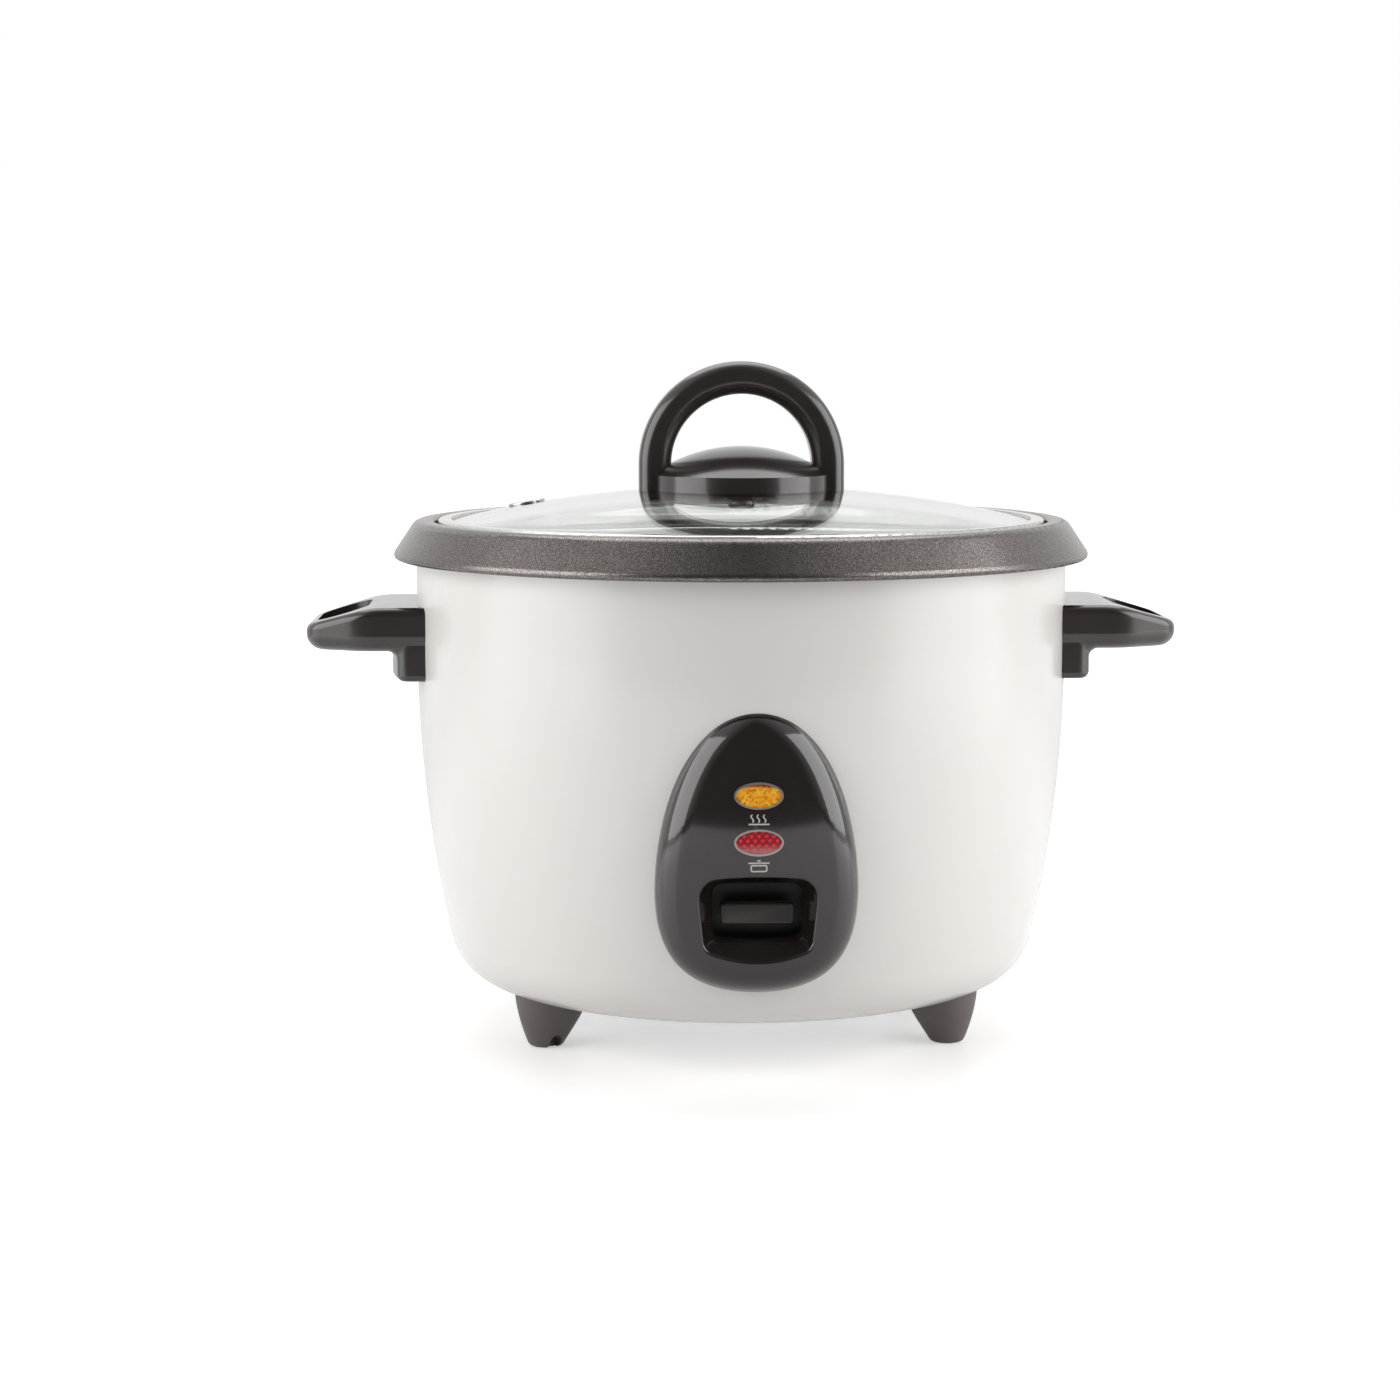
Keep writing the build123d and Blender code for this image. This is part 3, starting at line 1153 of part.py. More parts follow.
def make_lid_rim():
    top = glass_height(GLASS_CURVE, GLASS_RADIUS) + LID_RIM_PROUD
    low = glass_height(GLASS_INNER_CURVE, GLASS_RADIUS) - LID_RIM_WALL
    band = disc(LID_RIM_RADIUS, low, top, LID_RIM_RADIUS - LID_RIM_LIP)
    band = fillet(band.edges().group_by(Axis.Z)[-1].sort_by(SortBy.LENGTH)[-1], LID_RIM_ROUND)
    room = glass_sheet() & disc(GLASS_RADIUS, low - 1, top + 1)
    play_radius = LID_RIM_RADIUS - LID_RIM_WALL
    play = disc(play_radius, low + LID_RIM_WALL, top - 1, GLASS_RADIUS - 0.01)
    return band - room - play


def make_vent_eyelet():
    place = vent_place()
    low = -GLASS_THICKNESS - EYELET_FLANGE
    top = disc(EYELET_RADIUS, 0, EYELET_FLANGE)
    top = fillet(top.edges().group_by(Axis.Z)[-1], EYELET_FLANGE * 0.6)
    tube = disc(EYELET_TUBE_RADIUS, low, 0)
    foot = disc(EYELET_RADIUS - 1, low, -GLASS_THICKNESS)
    eyelet = place * (top + tube + foot - disc(EYELET_BORE_RADIUS, 2 * low, -low))
    return eyelet - (glass_sheet() - place * disc(EYELET_TUBE_RADIUS, 2 * low, -low))


def make_lid_knob():
    middle = ARCH_RADIUS - ARCH_THICKNESS / 2
    grip = RectangleRounded(ARCH_THICKNESS, ARCH_WIDTH, ARCH_ROUND)
    sweep_face = Pos(middle, 0, ARCH_CENTRE_Z) * grip
    arch = revolve(sweep_face, Axis((0, 0, ARCH_CENTRE_Z), (0, -1, 0)), 180)
    depth = ARCH_RISE + ARCH_THICKNESS
    for side in (-1, 1):
        arch += Pos(side * middle, 0, ARCH_CENTRE_Z - depth) * extrude(grip, depth)
    rise = KNOB_DOME_TOP - glass_height(GLASS_CURVE, KNOB_BASE_RADIUS) - KNOB_WALL_HEIGHT
    curve = (KNOB_BASE_RADIUS**2 + rise**2) / (2 * rise)
    low = GLASS_TOP - 2 * GLASS_THICKNESS
    base = disc(KNOB_BASE_RADIUS, low, KNOB_DOME_TOP)
    base &= Pos(0, 0, KNOB_DOME_TOP - curve) * Sphere(curve)
    knob = arch + base - glass_ball(GLASS_CURVE)
    knob -= disc(GASKET_RADIUS + FIT, low, GLASS_TOP + GASKET_THICKNESS)
    screw_top = GLASS_TOP + KNOB_SCREW_BITE + SCREW_HOLE_SPARE
    return knob - disc(KNOB_SCREW_RADIUS + SCREW_PLAY, low, screw_top)


def make_knob_gasket():
    high = GLASS_TOP + GASKET_THICKNESS
    bore = KNOB_SCREW_RADIUS + 2 * SCREW_PLAY
    return disc(GASKET_RADIUS, high - GLASS_THICKNESS, high, bore) - glass_ball(GLASS_CURVE)


def make_knob_washer():
    bore = KNOB_SCREW_RADIUS + 2 * SCREW_PLAY
    return disc(WASHER_RADIUS, WASHER_BOTTOM, WASHER_TOP, bore) - glass_sheet()


def make_knob_screw():
    head = disc(KNOB_SCREW_HEAD_RADIUS, WASHER_BOTTOM - KNOB_SCREW_HEAD_HEIGHT, WASHER_BOTTOM)
    head = fillet(head.edges().group_by(Axis.Z)[0], 0.6 * KNOB_SCREW_HEAD_HEIGHT)
    return head + disc(KNOB_SCREW_RADIUS, WASHER_BOTTOM, GLASS_TOP + KNOB_SCREW_BITE)


# ---- Write every piece ----


def screws_at(places, length):
    return Compound([place * pan_screw(length) for place in places])


def make_parts():
    feet = ("foot_rear_right", "foot_rear_left", "foot_front_left", "foot_front_right")
    parts = {
        "body_shell": make_body_shell(),
        "top_ring": make_top_ring(),
        "heat_reflector": make_heat_reflector(),
        "base_plate": make_base_plate(),
        "foot_screws": screws_at(foot_screw_places(), FOOT_SCREW_LENGTH),
        "handle_left": make_handle(-1),
        "handle_right": make_handle(1),
        "handle_screws": screws_at(
            handle_screw_places(-1) + handle_screw_places(1), HANDLE_SCREW_LENGTH
        ),
        "control_fascia": make_control_fascia(),
        "fascia_screws": Compound([place * pan_screw(long) for place, long in fascia_screws()]),
        "amber_lens": make_lens(AMBER_Z),
        "red_lens": make_lens(RED_Z),
        "lens_bezels": make_lens_bezels(),
        "lamp_holder": make_lamp_holder(),
        "neon_lamps": make_neon_lamps(),
        "lever_paddle": make_lever_paddle(),
        "lever_shield": make_lever_shield(),
        "cook_lever": make_cook_lever(),
        "lever_pivot_pin": make_lever_pivot_pin(),
        "lever_bracket": make_lever_bracket(),
        "microswitch": make_microswitch(),
        "heating_plate": make_heating_plate(),
        "plate_posts": make_plate_posts(),
        "plate_screws": make_plate_screws(),
        "plate_terminals": make_plate_terminals(),
        "sensor_cap": make_sensor_cap(),
        "sensor_spring": make_sensor_spring(),
        "ferrite": disc(FERRITE_RADIUS, FERRITE_TOP - FERRITE_THICKNESS, FERRITE_TOP),
        "magnet": disc(MAGNET_RADIUS, MAGNET_BOTTOM, MAGNET_TOP),
        "magnet_holder": make_magnet_holder(),
        "thermostat_cup": make_thermostat_cup(),
        "keep_warm_heater": make_keep_warm_heater(),
        "thermal_fuse": make_thermal_fuse(),
        "terminal_block": make_terminal_block(),
        "power_inlet": make_power_inlet(),
        "inlet_pins": make_inlet_pins(),
        "inner_pot": make_inner_pot(),
        "lid_glass": make_lid_glass(),
        "lid_rim": make_lid_rim(),
        "vent_eyelet": make_vent_eyelet(),
        "lid_knob": make_lid_knob(),
        "knob_gasket": make_knob_gasket(),
        "knob_washer": make_knob_washer(),
        "knob_screw": make_knob_screw(),
    }
    for name, angle in zip(feet, foot_angles()):
        parts[name] = make_foot(angle)
    return parts


os.makedirs("parts", exist_ok=True)
for name, part in make_parts().items():
    export_step(part, f"parts/{name}.step")
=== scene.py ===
import math

import bmesh
import bpy
from mathutils import Matrix, Vector


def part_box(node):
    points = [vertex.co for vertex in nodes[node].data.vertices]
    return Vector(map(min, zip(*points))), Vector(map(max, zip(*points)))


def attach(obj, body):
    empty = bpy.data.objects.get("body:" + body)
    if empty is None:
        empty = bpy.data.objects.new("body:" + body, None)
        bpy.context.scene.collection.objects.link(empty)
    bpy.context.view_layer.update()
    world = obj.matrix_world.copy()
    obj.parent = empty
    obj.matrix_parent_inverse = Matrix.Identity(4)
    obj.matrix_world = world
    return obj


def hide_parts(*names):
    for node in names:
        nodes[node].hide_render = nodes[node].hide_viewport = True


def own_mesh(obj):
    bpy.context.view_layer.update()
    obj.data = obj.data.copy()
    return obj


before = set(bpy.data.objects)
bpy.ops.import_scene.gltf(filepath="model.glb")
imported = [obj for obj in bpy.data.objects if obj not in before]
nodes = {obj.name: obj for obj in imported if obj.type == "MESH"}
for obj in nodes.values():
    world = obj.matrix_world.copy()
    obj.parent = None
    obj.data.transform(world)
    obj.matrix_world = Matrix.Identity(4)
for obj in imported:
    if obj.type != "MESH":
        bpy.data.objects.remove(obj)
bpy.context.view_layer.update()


# ---- Camera ----
# A long lens a metre in front of the drum, a little above the lid and turned slightly
# to the cooker's left. It looks down at the control panel.

DISTANCE = 1.0
EYE_HEIGHT = 0.224
TURN = math.radians(-2.7)
PITCH = math.radians(6.76)
FOCAL_LENGTH = 78.9
SENSOR_WIDTH = 36.0
SIDE_SHIFT = -0.0293
NEAR_LIMIT = 0.01

camera_data = bpy.data.cameras.new("front_camera")
camera_data.lens = FOCAL_LENGTH
camera_data.sensor_width = SENSOR_WIDTH
camera_data.shift_x = SIDE_SHIFT
camera_data.clip_start = NEAR_LIMIT
camera = bpy.data.objects.new("front_camera", camera_data)
bpy.context.scene.collection.objects.link(camera)
camera.location = (DISTANCE * math.sin(TURN), -DISTANCE * math.cos(TURN), EYE_HEIGHT)
camera.rotation_euler = (math.radians(90) - PITCH, 0, TURN)
bpy.context.scene.camera = camera
bpy.context.scene.view_settings.view_transform = "Standard"


# ---- Room ----
# A white room that fills the shadows with a little warm light. What the cooker's gloss
# mirrors of it is white behind and at the sides, and dark in front.

WHITE = (1, 1, 1, 1)
FILL_COLOUR = (1.0, 0.99, 0.98, 1)
FILL_STRENGTH = 0.09
FRONT_SHADE = 0.11
BACK_SHADE = 1.0
FRONT_LEAN = -0.42
BACK_LEAN = 0.25


def feed(tree, node, inputs):
    """Gives each named socket of a node its value, or the output that is led to it."""
    for socket, value in inputs.items():
        if isinstance(value, bpy.types.NodeSocket):
            tree.links.new(value, node.inputs[socket])
        else:
            node.inputs[socket].default_value = value


def add_node(tree, kind, inputs=None, **settings):
    """Adds a node of a kind with its settings and what its sockets are fed."""
    node = tree.nodes.new("ShaderNode" + kind)
    for setting, value in settings.items():
        setattr(node, setting, value)
    feed(tree, node, inputs or {})
    return node


def work_out(tree, way, first, second):
    """Result of one Math operation on two values."""
    return add_node(tree, "Math", {0: first, 1: second}, operation=way).outputs[0]


def spread(tree, value, low, high, start=0.0, end=1.0):
    """A value between start and end turned to low to high."""
    scaled = add_node(tree, "MapRange", {
        "Value": value, "From Min": start, "From Max": end, "To Min": low, "To Max": high,
    })
    return scaled.outputs["Result"]


def mix_shaders(tree, amount, first, second):
    """First shader where amount is 0, second where it is 1."""
    return add_node(tree, "MixShader", {"Fac": amount, 1: first, 2: second}).outputs[0]


world = bpy.data.worlds.new("white_room")
bpy.context.scene.world = world
world.use_nodes = True
room = world.node_tree
fill = room.nodes["Background"]
feed(room, fill, {"Color": FILL_COLOUR, "Strength": FILL_STRENGTH})
white = add_node(room, "Background", {"Color": WHITE, "Strength": 1.0})
direction = add_node(room, "TexCoord").outputs["Generated"]
along = add_node(room, "SeparateXYZ", {"Vector": direction})
aside = add_node(room, "Math", {0: along.outputs["X"]}, operation="ABSOLUTE").outputs[0]
lean = work_out(room, "ADD", along.outputs["Y"], aside)
room_shade = spread(room, lean, FRONT_SHADE, BACK_SHADE, FRONT_LEAN, BACK_LEAN)
mirrored = add_node(room, "Background", {"Color": WHITE, "Strength": room_shade})
rays = add_node(room, "LightPath")
straight = work_out(room, "MAXIMUM", rays.outputs["Is Camera Ray"], rays.outputs["Is Transmission Ray"])
shown = mix_shaders(room, straight, fill.outputs[0], white.outputs[0])
around = mix_shaders(room, rays.outputs["Is Glossy Ray"], shown, mirrored.outputs[0])
feed(room, room.nodes["World Output"], {"Surface": around})


# ---- Floor ----
# A pale sheet under the cooker, which carries the shadow. It glows a little where it is
# seen, straight or mirrored, and mirrored in the gloss it ends in the shade of the room.

FLOOR_RADIUS = 3.0
FLOOR_COLOUR = (0.86, 0.86, 0.86, 1)
SEEN_GLOW = (0.45, 1.0, 0.13, 0.33)  # strength near and far, and how near and far that is
MIRRORED_GLOW = (0.28, 0.80, 0.14, 0.9)
LIT_FRONT = -0.78
DARK_FRONT = -0.90
LIT_BACK = 0.10
DIM_BACK = 0.40
DIM_SHADE = 0.80


def new_material(name):
    """Node material with its own shader; returns the material, its node tree and the shader."""
    material = bpy.data.materials.new(name)
    material.use_nodes = True
    tree = material.node_tree
    return material, tree, tree.nodes["Principled BSDF"]


bpy.ops.object.select_all(action="DESELECT")
bpy.ops.mesh.primitive_circle_add(
    vertices=96, radius=FLOOR_RADIUS, fill_type="NGON", location=(0, 0, 0)
)
floor = bpy.context.object
floor.name = "floor"
floor_paint, tree, shader = new_material("floor_white")
feed(tree, shader, {"Base Color": FLOOR_COLOUR, "Roughness": 0.42, "Specular IOR Level": 0.35})
ground = add_node(tree, "TexCoord").outputs["Object"]
reach = add_node(tree, "VectorMath", {0: ground}, operation="LENGTH").outputs["Value"]
rays = add_node(tree, "LightPath")
strength = add_node(tree, "Mix", {
    "Factor": rays.outputs["Is Camera Ray"],
    "A": spread(tree, reach, *MIRRORED_GLOW),
    "B": spread(tree, reach, *SEEN_GLOW),
})
glow = add_node(tree, "Emission", {"Color": WHITE, "Strength": strength.outputs["Result"]})
glowing = add_node(tree, "AddShader", {0: shader.outputs[0], 1: glow.outputs[0]})
seen = work_out(tree, "MAXIMUM", rays.outputs["Is Camera Ray"], rays.outputs["Is Glossy Ray"])
seen = work_out(tree, "MAXIMUM", seen, rays.outputs["Is Transmission Ray"])
surface = mix_shaders(tree, seen, shader.outputs[0], glowing.outputs[0])
depth = add_node(tree, "SeparateXYZ", {"Vector": ground}).outputs["Y"]
for start, end, shade in ((LIT_FRONT, DARK_FRONT, FRONT_SHADE), (LIT_BACK, DIM_BACK, DIM_SHADE)):
    beyond = spread(tree, depth, 0.0, 1.0, start, end)
    mirrored_end = work_out(tree, "MULTIPLY", beyond, rays.outputs["Is Glossy Ray"])
    ending = add_node(tree, "Emission", {"Strength": shade})
    surface = mix_shaders(tree, mirrored_end, surface, ending.outputs[0])
feed(tree, tree.nodes["Material Output"], {"Surface": surface})
floor.data.materials.append(floor_paint)


# ---- Softboxes ----
# Two softboxes about a metre square stand beside the cooker, and a third hangs above
# and behind it. All three face the middle of the drum.

DRUM_MIDDLE = Vector((0, 0, 0.1))
SIDE_SIZE = (1.2, 1.0)
TOP_SIZE = (1.4, 1.0)


def softbox(name, place, size, watts):
    """Rectangular softbox that faces the middle of the drum."""
    light = bpy.data.lights.new(name, "AREA")
    light.shape = "RECTANGLE"
    light.size, light.size_y = size
    light.energy = watts
    lamp = bpy.data.objects.new(name, light)
    bpy.context.scene.collection.objects.link(lamp)
    lamp.location = place
    lamp.rotation_euler = (DRUM_MIDDLE - Vector(place)).to_track_quat("-Z", "Y").to_euler()


softbox("softbox_left", (-1.14, -0.38, 0.52), SIDE_SIZE, 11.1)
softbox("softbox_right", (1.14, -0.38, 0.52), SIDE_SIZE, 12.0)
softbox("softbox_above", (0, 0.55, 1.4), TOP_SIZE, 10)


# ---- Enamelled drum ----
# A deep-drawn steel drum, stove-enamelled off-white. The enamel is glossy, with the
# faint orange peel of sprayed paint and a slightly warm tone.

ENAMEL_DEEP = (0.85, 0.825, 0.79)
ENAMEL_PALE = (0.87, 0.845, 0.81)


def noise(tree, scale, detail=2.0, roughness=0.5, stretch=None):
    """Noise in the object's own space, drawn out along the axes whose stretch is small."""
    place = add_node(tree, "TexCoord").outputs["Object"]
    if stretch:
        place = add_node(tree, "Mapping", {"Vector": place, "Scale": stretch}).outputs["Vector"]
    grain = add_node(tree, "TexNoise", {
        "Vector": place, "Scale": scale, "Detail": detail, "Roughness": roughness,
    })
    return grain.outputs["Fac"]


def ramp(tree, value, stops):
    """Colours along a value; stops pairs each position with a colour."""
    colours = add_node(tree, "ValToRGB", {"Fac": value})
    band = colours.color_ramp
    while len(band.elements) < len(stops):
        band.elements.new(0.5)
    for element, (position, colour) in zip(band.elements, stops):
        element.position = position
        element.color = (*colour, 1)
    return colours.outputs["Color"]


def two_tone(tree, value, first, second, start=0.3, end=0.7):
    """First colour up to start, second from end on."""
    return ramp(tree, value, [(start, first), (end, second)])


def relief(tree, shader, height, distance, strength=1.0):
    """Bump from a height, in metres."""
    bump = add_node(tree, "Bump", {"Strength": strength, "Distance": distance, "Height": height})
    feed(tree, shader, {"Normal": bump.outputs["Normal"]})


def dress(node, material):
    """Gives a carried-over piece its finish."""
    mesh = nodes[node].data
    mesh.materials.clear()
    mesh.materials.append(material)


enamel, tree, shader = new_material("drum_enamel")
feed(tree, shader, {
    "Base Color": two_tone(tree, noise(tree, 9, 3), ENAMEL_DEEP, ENAMEL_PALE),
    "Roughness": spread(tree, noise(tree, 60), 0.20, 0.28),
    "Coat Weight": 0.35,
    "Coat Roughness": 0.08,
})
relief(tree, shader, noise(tree, 420), 0.00012, 0.25)
dress("body_shell", enamel)


# ---- Top ring ----
# A rolled ring in dark brown hammer-finish paint, pressed over the drum's upper edge.
# Fine metal flakes sparkle in the dark ground of the paint.

RING_GROUND = (0.078, 0.069, 0.066)
RING_FLAKE = (0.33, 0.303, 0.288)

speckle, tree, shader = new_material("ring_speckle")
flakes = noise(tree, 3200, roughness=0.6)
feed(tree, shader, {
    "Base Color": two_tone(tree, flakes, RING_GROUND, RING_FLAKE, 0.42, 0.74),
    "Roughness": spread(tree, flakes, 0.30, 0.20),
    "Metallic": 0.9,
})
relief(tree, shader, flakes, 0.00005, 0.4)
dress("top_ring", speckle)


# ---- Metal inside ----
# The reflector and the sensor's cap are bright aluminium sheet, the plate is cast
# aluminium turned on its top, and the brackets, cup, base and screws are zinc-plated
# steel. The plate's terminals and the lever's pin are stainless.

STREAK_DARK = 0.86
STREAK_GLOSS = 0.06
STREAK_DULL = 0.08
STREAK_RELIEF = 0.4


def metal(name, colour, rough, grain_scale, grain_height, stretch=(1, 1, 1)):
    """Metal with streaks or grain that are stretched along the given axes."""
    material, tree, shader = new_material(name)
    grain = noise(tree, grain_scale, 4, stretch=stretch)
    dark = tuple(STREAK_DARK * part for part in colour)
    feed(tree, shader, {
        "Base Color": two_tone(tree, grain, dark, colour),
        "Roughness": spread(tree, grain, rough - STREAK_GLOSS, rough + STREAK_DULL),
        "Metallic": 1.0,
    })
    relief(tree, shader, grain, grain_height, STREAK_RELIEF)
    return material


bright_sheet = metal("bright_sheet", (0.62, 0.62, 0.62), 0.28, 300, 0.00003, (1, 1, 0.1))
cast_plate = metal("cast_plate", (0.66, 0.66, 0.67), 0.42, 500, 0.00006)
zinc = metal("zinc_plate", (0.63, 0.63, 0.635), 0.38, 160, 0.00003)
steel = metal("stainless_steel", (0.66, 0.65, 0.635), 0.20, 240, 0.00002, (1, 1, 0.08))

dress("heat_reflector", bright_sheet)
dress("sensor_cap", bright_sheet)
dress("heating_plate", cast_plate)
for name in ("base_plate", "foot_screws", "handle_screws", "fascia_screws", "plate_screws",
             "plate_posts", "lever_bracket", "magnet_holder", "thermostat_cup"):
    dress(name, zinc)
for name in ("plate_terminals", "sensor_spring", "lever_pivot_pin"):
    dress(name, steel)


# ---- Feet ----
# Four feet of brown-grey plastic, screwed to the base plate from inside. They are matt
# from a spark-eroded mould.

FOOT_COLOUR = (0.138, 0.120, 0.114)
PATCH_SCALE = 40
PATCH_GLOSS = 0.85
PATCH_DULL = 1.15


def plastic(name, colour, rough, grain_scale, grain_height, shade=0.85, more=None):
    """Moulded plastic with a fine even grain; more gives further sockets of its shader."""
    material, tree, shader = new_material(name)
    dark = tuple(shade * part for part in colour)
    feed(tree, shader, {
        "Base Color": two_tone(tree, noise(tree, PATCH_SCALE, 4), dark, colour, 0.35, 0.65),
        "Roughness": spread(tree, noise(tree, 90, 3), rough * PATCH_GLOSS, rough * PATCH_DULL),
        **(more or {}),
    })
    relief(tree, shader, noise(tree, grain_scale, 3), grain_height, 0.5)
    return material


foot_plastic = plastic("foot_plastic", FOOT_COLOUR, 0.55, 1400, 0.00008)
for name in ("foot_front_left", "foot_front_right", "foot_rear_left", "foot_rear_right"):
    dress(name, foot_plastic)


# ---- Side handles ----
# Thick dark phenolic mouldings with a polished surface, screwed on through the drum. The
# flash of the mould's parting line runs round each, a little under its top.

HANDLE_COLOUR = (0.033, 0.0245, 0.0245)
SEAM_DROP = 0.0088
SEAM_RADIUS = 0.00011
SEAM_END = 0.0004
DRUM_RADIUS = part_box("body_shell")[1][0]
HANDLE_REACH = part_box("handle_right")[1][0]
DOUBLES = 0.000002


def copy_of(node, name):
    """A loose copy of a carried-over piece with its doubles merged, selected in edit mode."""
    bpy.ops.object.select_all(action="DESELECT")
    piece = bpy.data.objects.new(name, nodes[node].data.copy())
    bpy.context.scene.collection.objects.link(piece)
    piece.select_set(True)
    bpy.context.view_layer.objects.active = piece
    bpy.ops.object.mode_set(mode="EDIT")
    bpy.ops.mesh.select_all(action="SELECT")
    bpy.ops.mesh.remove_doubles(threshold=DOUBLES)
    return piece


def select_vertices(piece, wanted):
    """Selects, in edit mode, the vertices whose place passes a test."""
    bpy.ops.mesh.select_all(action="DESELECT")
    shape = bmesh.from_edit_mesh(piece.data)
    for vertex in shape.verts:
        vertex.select = wanted(vertex.co)
    shape.select_flush(True)
    bmesh.update_edit_mesh(piece.data)


def finish(piece, material, body):
    """Gives a new piece its finish and the body it rides on."""
    piece.data.materials.clear()
    piece.data.materials.append(material)
    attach(piece, body)


handle_phenolic = plastic("handle_phenolic", HANDLE_COLOUR, 0.20, 260, 0.00002,
                          more={"Coat Weight": 0.35, "Coat Roughness": 0.10})
for side in ("left", "right"):
    dress("handle_" + side, handle_phenolic)
    seam = copy_of("handle_" + side, "handle_seam_" + side)
    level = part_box("handle_" + side)[1][2] - SEAM_DROP
    bpy.ops.mesh.bisect(
        plane_co=(0, 0, level), plane_no=(0, 0, 1), clear_inner=True, clear_outer=True, use_fill=False
    )
    select_vertices(seam, lambda place: math.hypot(place.x, place.y) < DRUM_RADIUS + SEAM_END)
    bpy.ops.mesh.delete(type="VERT")
    bpy.ops.object.mode_set(mode="OBJECT")
    bpy.ops.object.convert(target="CURVE")
    seam = bpy.context.object
    seam.data.bevel_depth = SEAM_RADIUS
    seam.data.bevel_resolution = 1
    bpy.ops.object.convert(target="MESH")
    seam = bpy.context.object
    # drawn in by its own thickness, so that it ends level with the handle's tip
    seam.data.transform(Matrix.Scale(1 - SEAM_RADIUS / HANDLE_REACH, 4, (1, 0, 0)))
    finish(seam, handle_phenolic, "cooker")


# ---- Control panel ----
# A glossy phenolic moulding, nearly black, screwed to the drum's front from inside. It
# carries the two lenses and the lever's pocket.

FASCIA_COLOUR = (0.0200, 0.0140, 0.0145)

phenolic = plastic("dark_phenolic", FASCIA_COLOUR, 0.10, 260, 0.00002, 0.8,
                   more={"Coat Weight": 0.4, "Coat Roughness": 0.06})
dress("control_fascia", phenolic)


# ---- Printed marks ----
# Two pictograms in pale ink, printed on the panel under the lenses: steam over a line
# for keeping warm, and a covered pot for cooking.

INK_COLOUR = (0.62, 0.60, 0.58)
INK_WIDTH = 0.00045
INK_THICKNESS = 0.00006
INK_CORNER = INK_WIDTH / 3
STAND_OFF = 0.002
FASCIA_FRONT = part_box("control_fascia")[0][1]
LINE_WIDTH = 0.0062
LINE_DROP = 0.0015
WISP_DROP = 0.0009
WISP_HEIGHT = 0.0024
WISP_SPACING = 0.0018
WISP_SWAY = 0.00034
POT_WIDTH = 0.0050
POT_HEIGHT = 0.0022
POT_CORNER = 0.0006
POT_DROP = 0.0008
COVER_RISE = 0.0008
GRIP_WIDTH = 0.0011
GRIP_RISE = 0.0015


def start_plane(width, height, x, z, surface=FASCIA_FRONT):
    """Upright rectangle that stands off a surface, in edit mode with all of it selected."""
    bpy.ops.object.select_all(action="DESELECT")
    place = (x, surface - STAND_OFF, z)
    bpy.ops.mesh.primitive_plane_add(size=1, location=place, rotation=(math.radians(90), 0, 0))
    piece = bpy.context.object
    piece.scale = (width, height, 1)
    bpy.ops.object.transform_apply(location=True, rotation=True, scale=True)
    bpy.ops.object.mode_set(mode="EDIT")
    return piece


def frame_of(width, height, x, z, corner):
    """Outline of a rounded rectangle, one ink width thick."""
    piece = start_plane(width, height, x, z)
    bpy.ops.mesh.select_all(action="SELECT")
    bpy.ops.mesh.bevel(offset=corner, affect="VERTICES", segments=4)
    bpy.ops.mesh.select_all(action="SELECT")
    bpy.ops.mesh.inset(thickness=INK_WIDTH)
    bpy.ops.mesh.delete(type="FACE")
    bpy.ops.object.mode_set(mode="OBJECT")
    return piece


def ink_line(width, x, z):
    """Level line one ink width thick, with rounded ends."""
    piece = start_plane(width, INK_WIDTH, x, z)
    bpy.ops.mesh.bevel(offset=INK_CORNER, affect="VERTICES", segments=3)
    bpy.ops.object.mode_set(mode="OBJECT")
    return piece


def wisp(x, z, steps=12):
    """Rising steam: a short edge extruded upward in steps that sway from side to side."""
    rise = WISP_HEIGHT / steps
    piece = start_plane(INK_WIDTH, rise, x, z)
    for step in range(1, steps):
        level = z + (step - 0.5) * rise
        select_vertices(piece, lambda place: place.z > level - rise / 4)
        before, after = (math.sin(turn * 2 * math.pi / steps) for turn in (step, step + 1))
        sway = WISP_SWAY * (after - before)
        bpy.ops.mesh.extrude_region_move(TRANSFORM_OT_translate={"value": (sway, 0, rise)})
    bpy.ops.object.mode_set(mode="OBJECT")
    return piece


def print_mark(name, strokes, ink, target, body):
    """Joins strokes, lays them on a surface along Y and gives the ink its thickness."""
    bpy.ops.object.select_all(action="DESELECT")
    for stroke in strokes:
        stroke.select_set(True)
    bpy.context.view_layer.objects.active = strokes[0]
    bpy.ops.object.join()
    mark = bpy.context.object
    mark.name = mark.data.name = name
    bpy.ops.object.mode_set(mode="EDIT")
    bpy.ops.mesh.select_all(action="SELECT")
    bpy.ops.mesh.quads_convert_to_tris()
    bpy.ops.mesh.subdivide(number_cuts=2)
    bpy.ops.object.mode_set(mode="OBJECT")
    wrap = mark.modifiers.new("lay", "SHRINKWRAP")
    wrap.target = nodes[target]
    wrap.wrap_method = "PROJECT"
    wrap.use_project_y = True
    wrap.use_negative_direction = False
    wrap.use_positive_direction = True
    bpy.ops.object.modifier_apply(modifier="lay")
    skin = mark.modifiers.new("ink", "SOLIDIFY")
    skin.thickness = INK_THICKNESS
    skin.offset = 1
    bpy.ops.object.modifier_apply(modifier="ink")
    finish(mark, ink, body)


ink = plastic("pale_ink", INK_COLOUR, 0.45, 1500, 0.00001, 0.92)
amber_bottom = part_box("amber_lens")[0][2]
red_low, red_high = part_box("red_lens")
between_lenses = (amber_bottom + red_high[2]) / 2
under_red = between_lenses - (amber_bottom - red_low[2])

steam = [wisp(place * WISP_SPACING, between_lenses - WISP_DROP) for place in (-1, 0, 1)]
steam.append(ink_line(LINE_WIDTH, 0, between_lenses - LINE_DROP))
print_mark("keep_warm_mark", steam, ink, "control_fascia", "cooker")

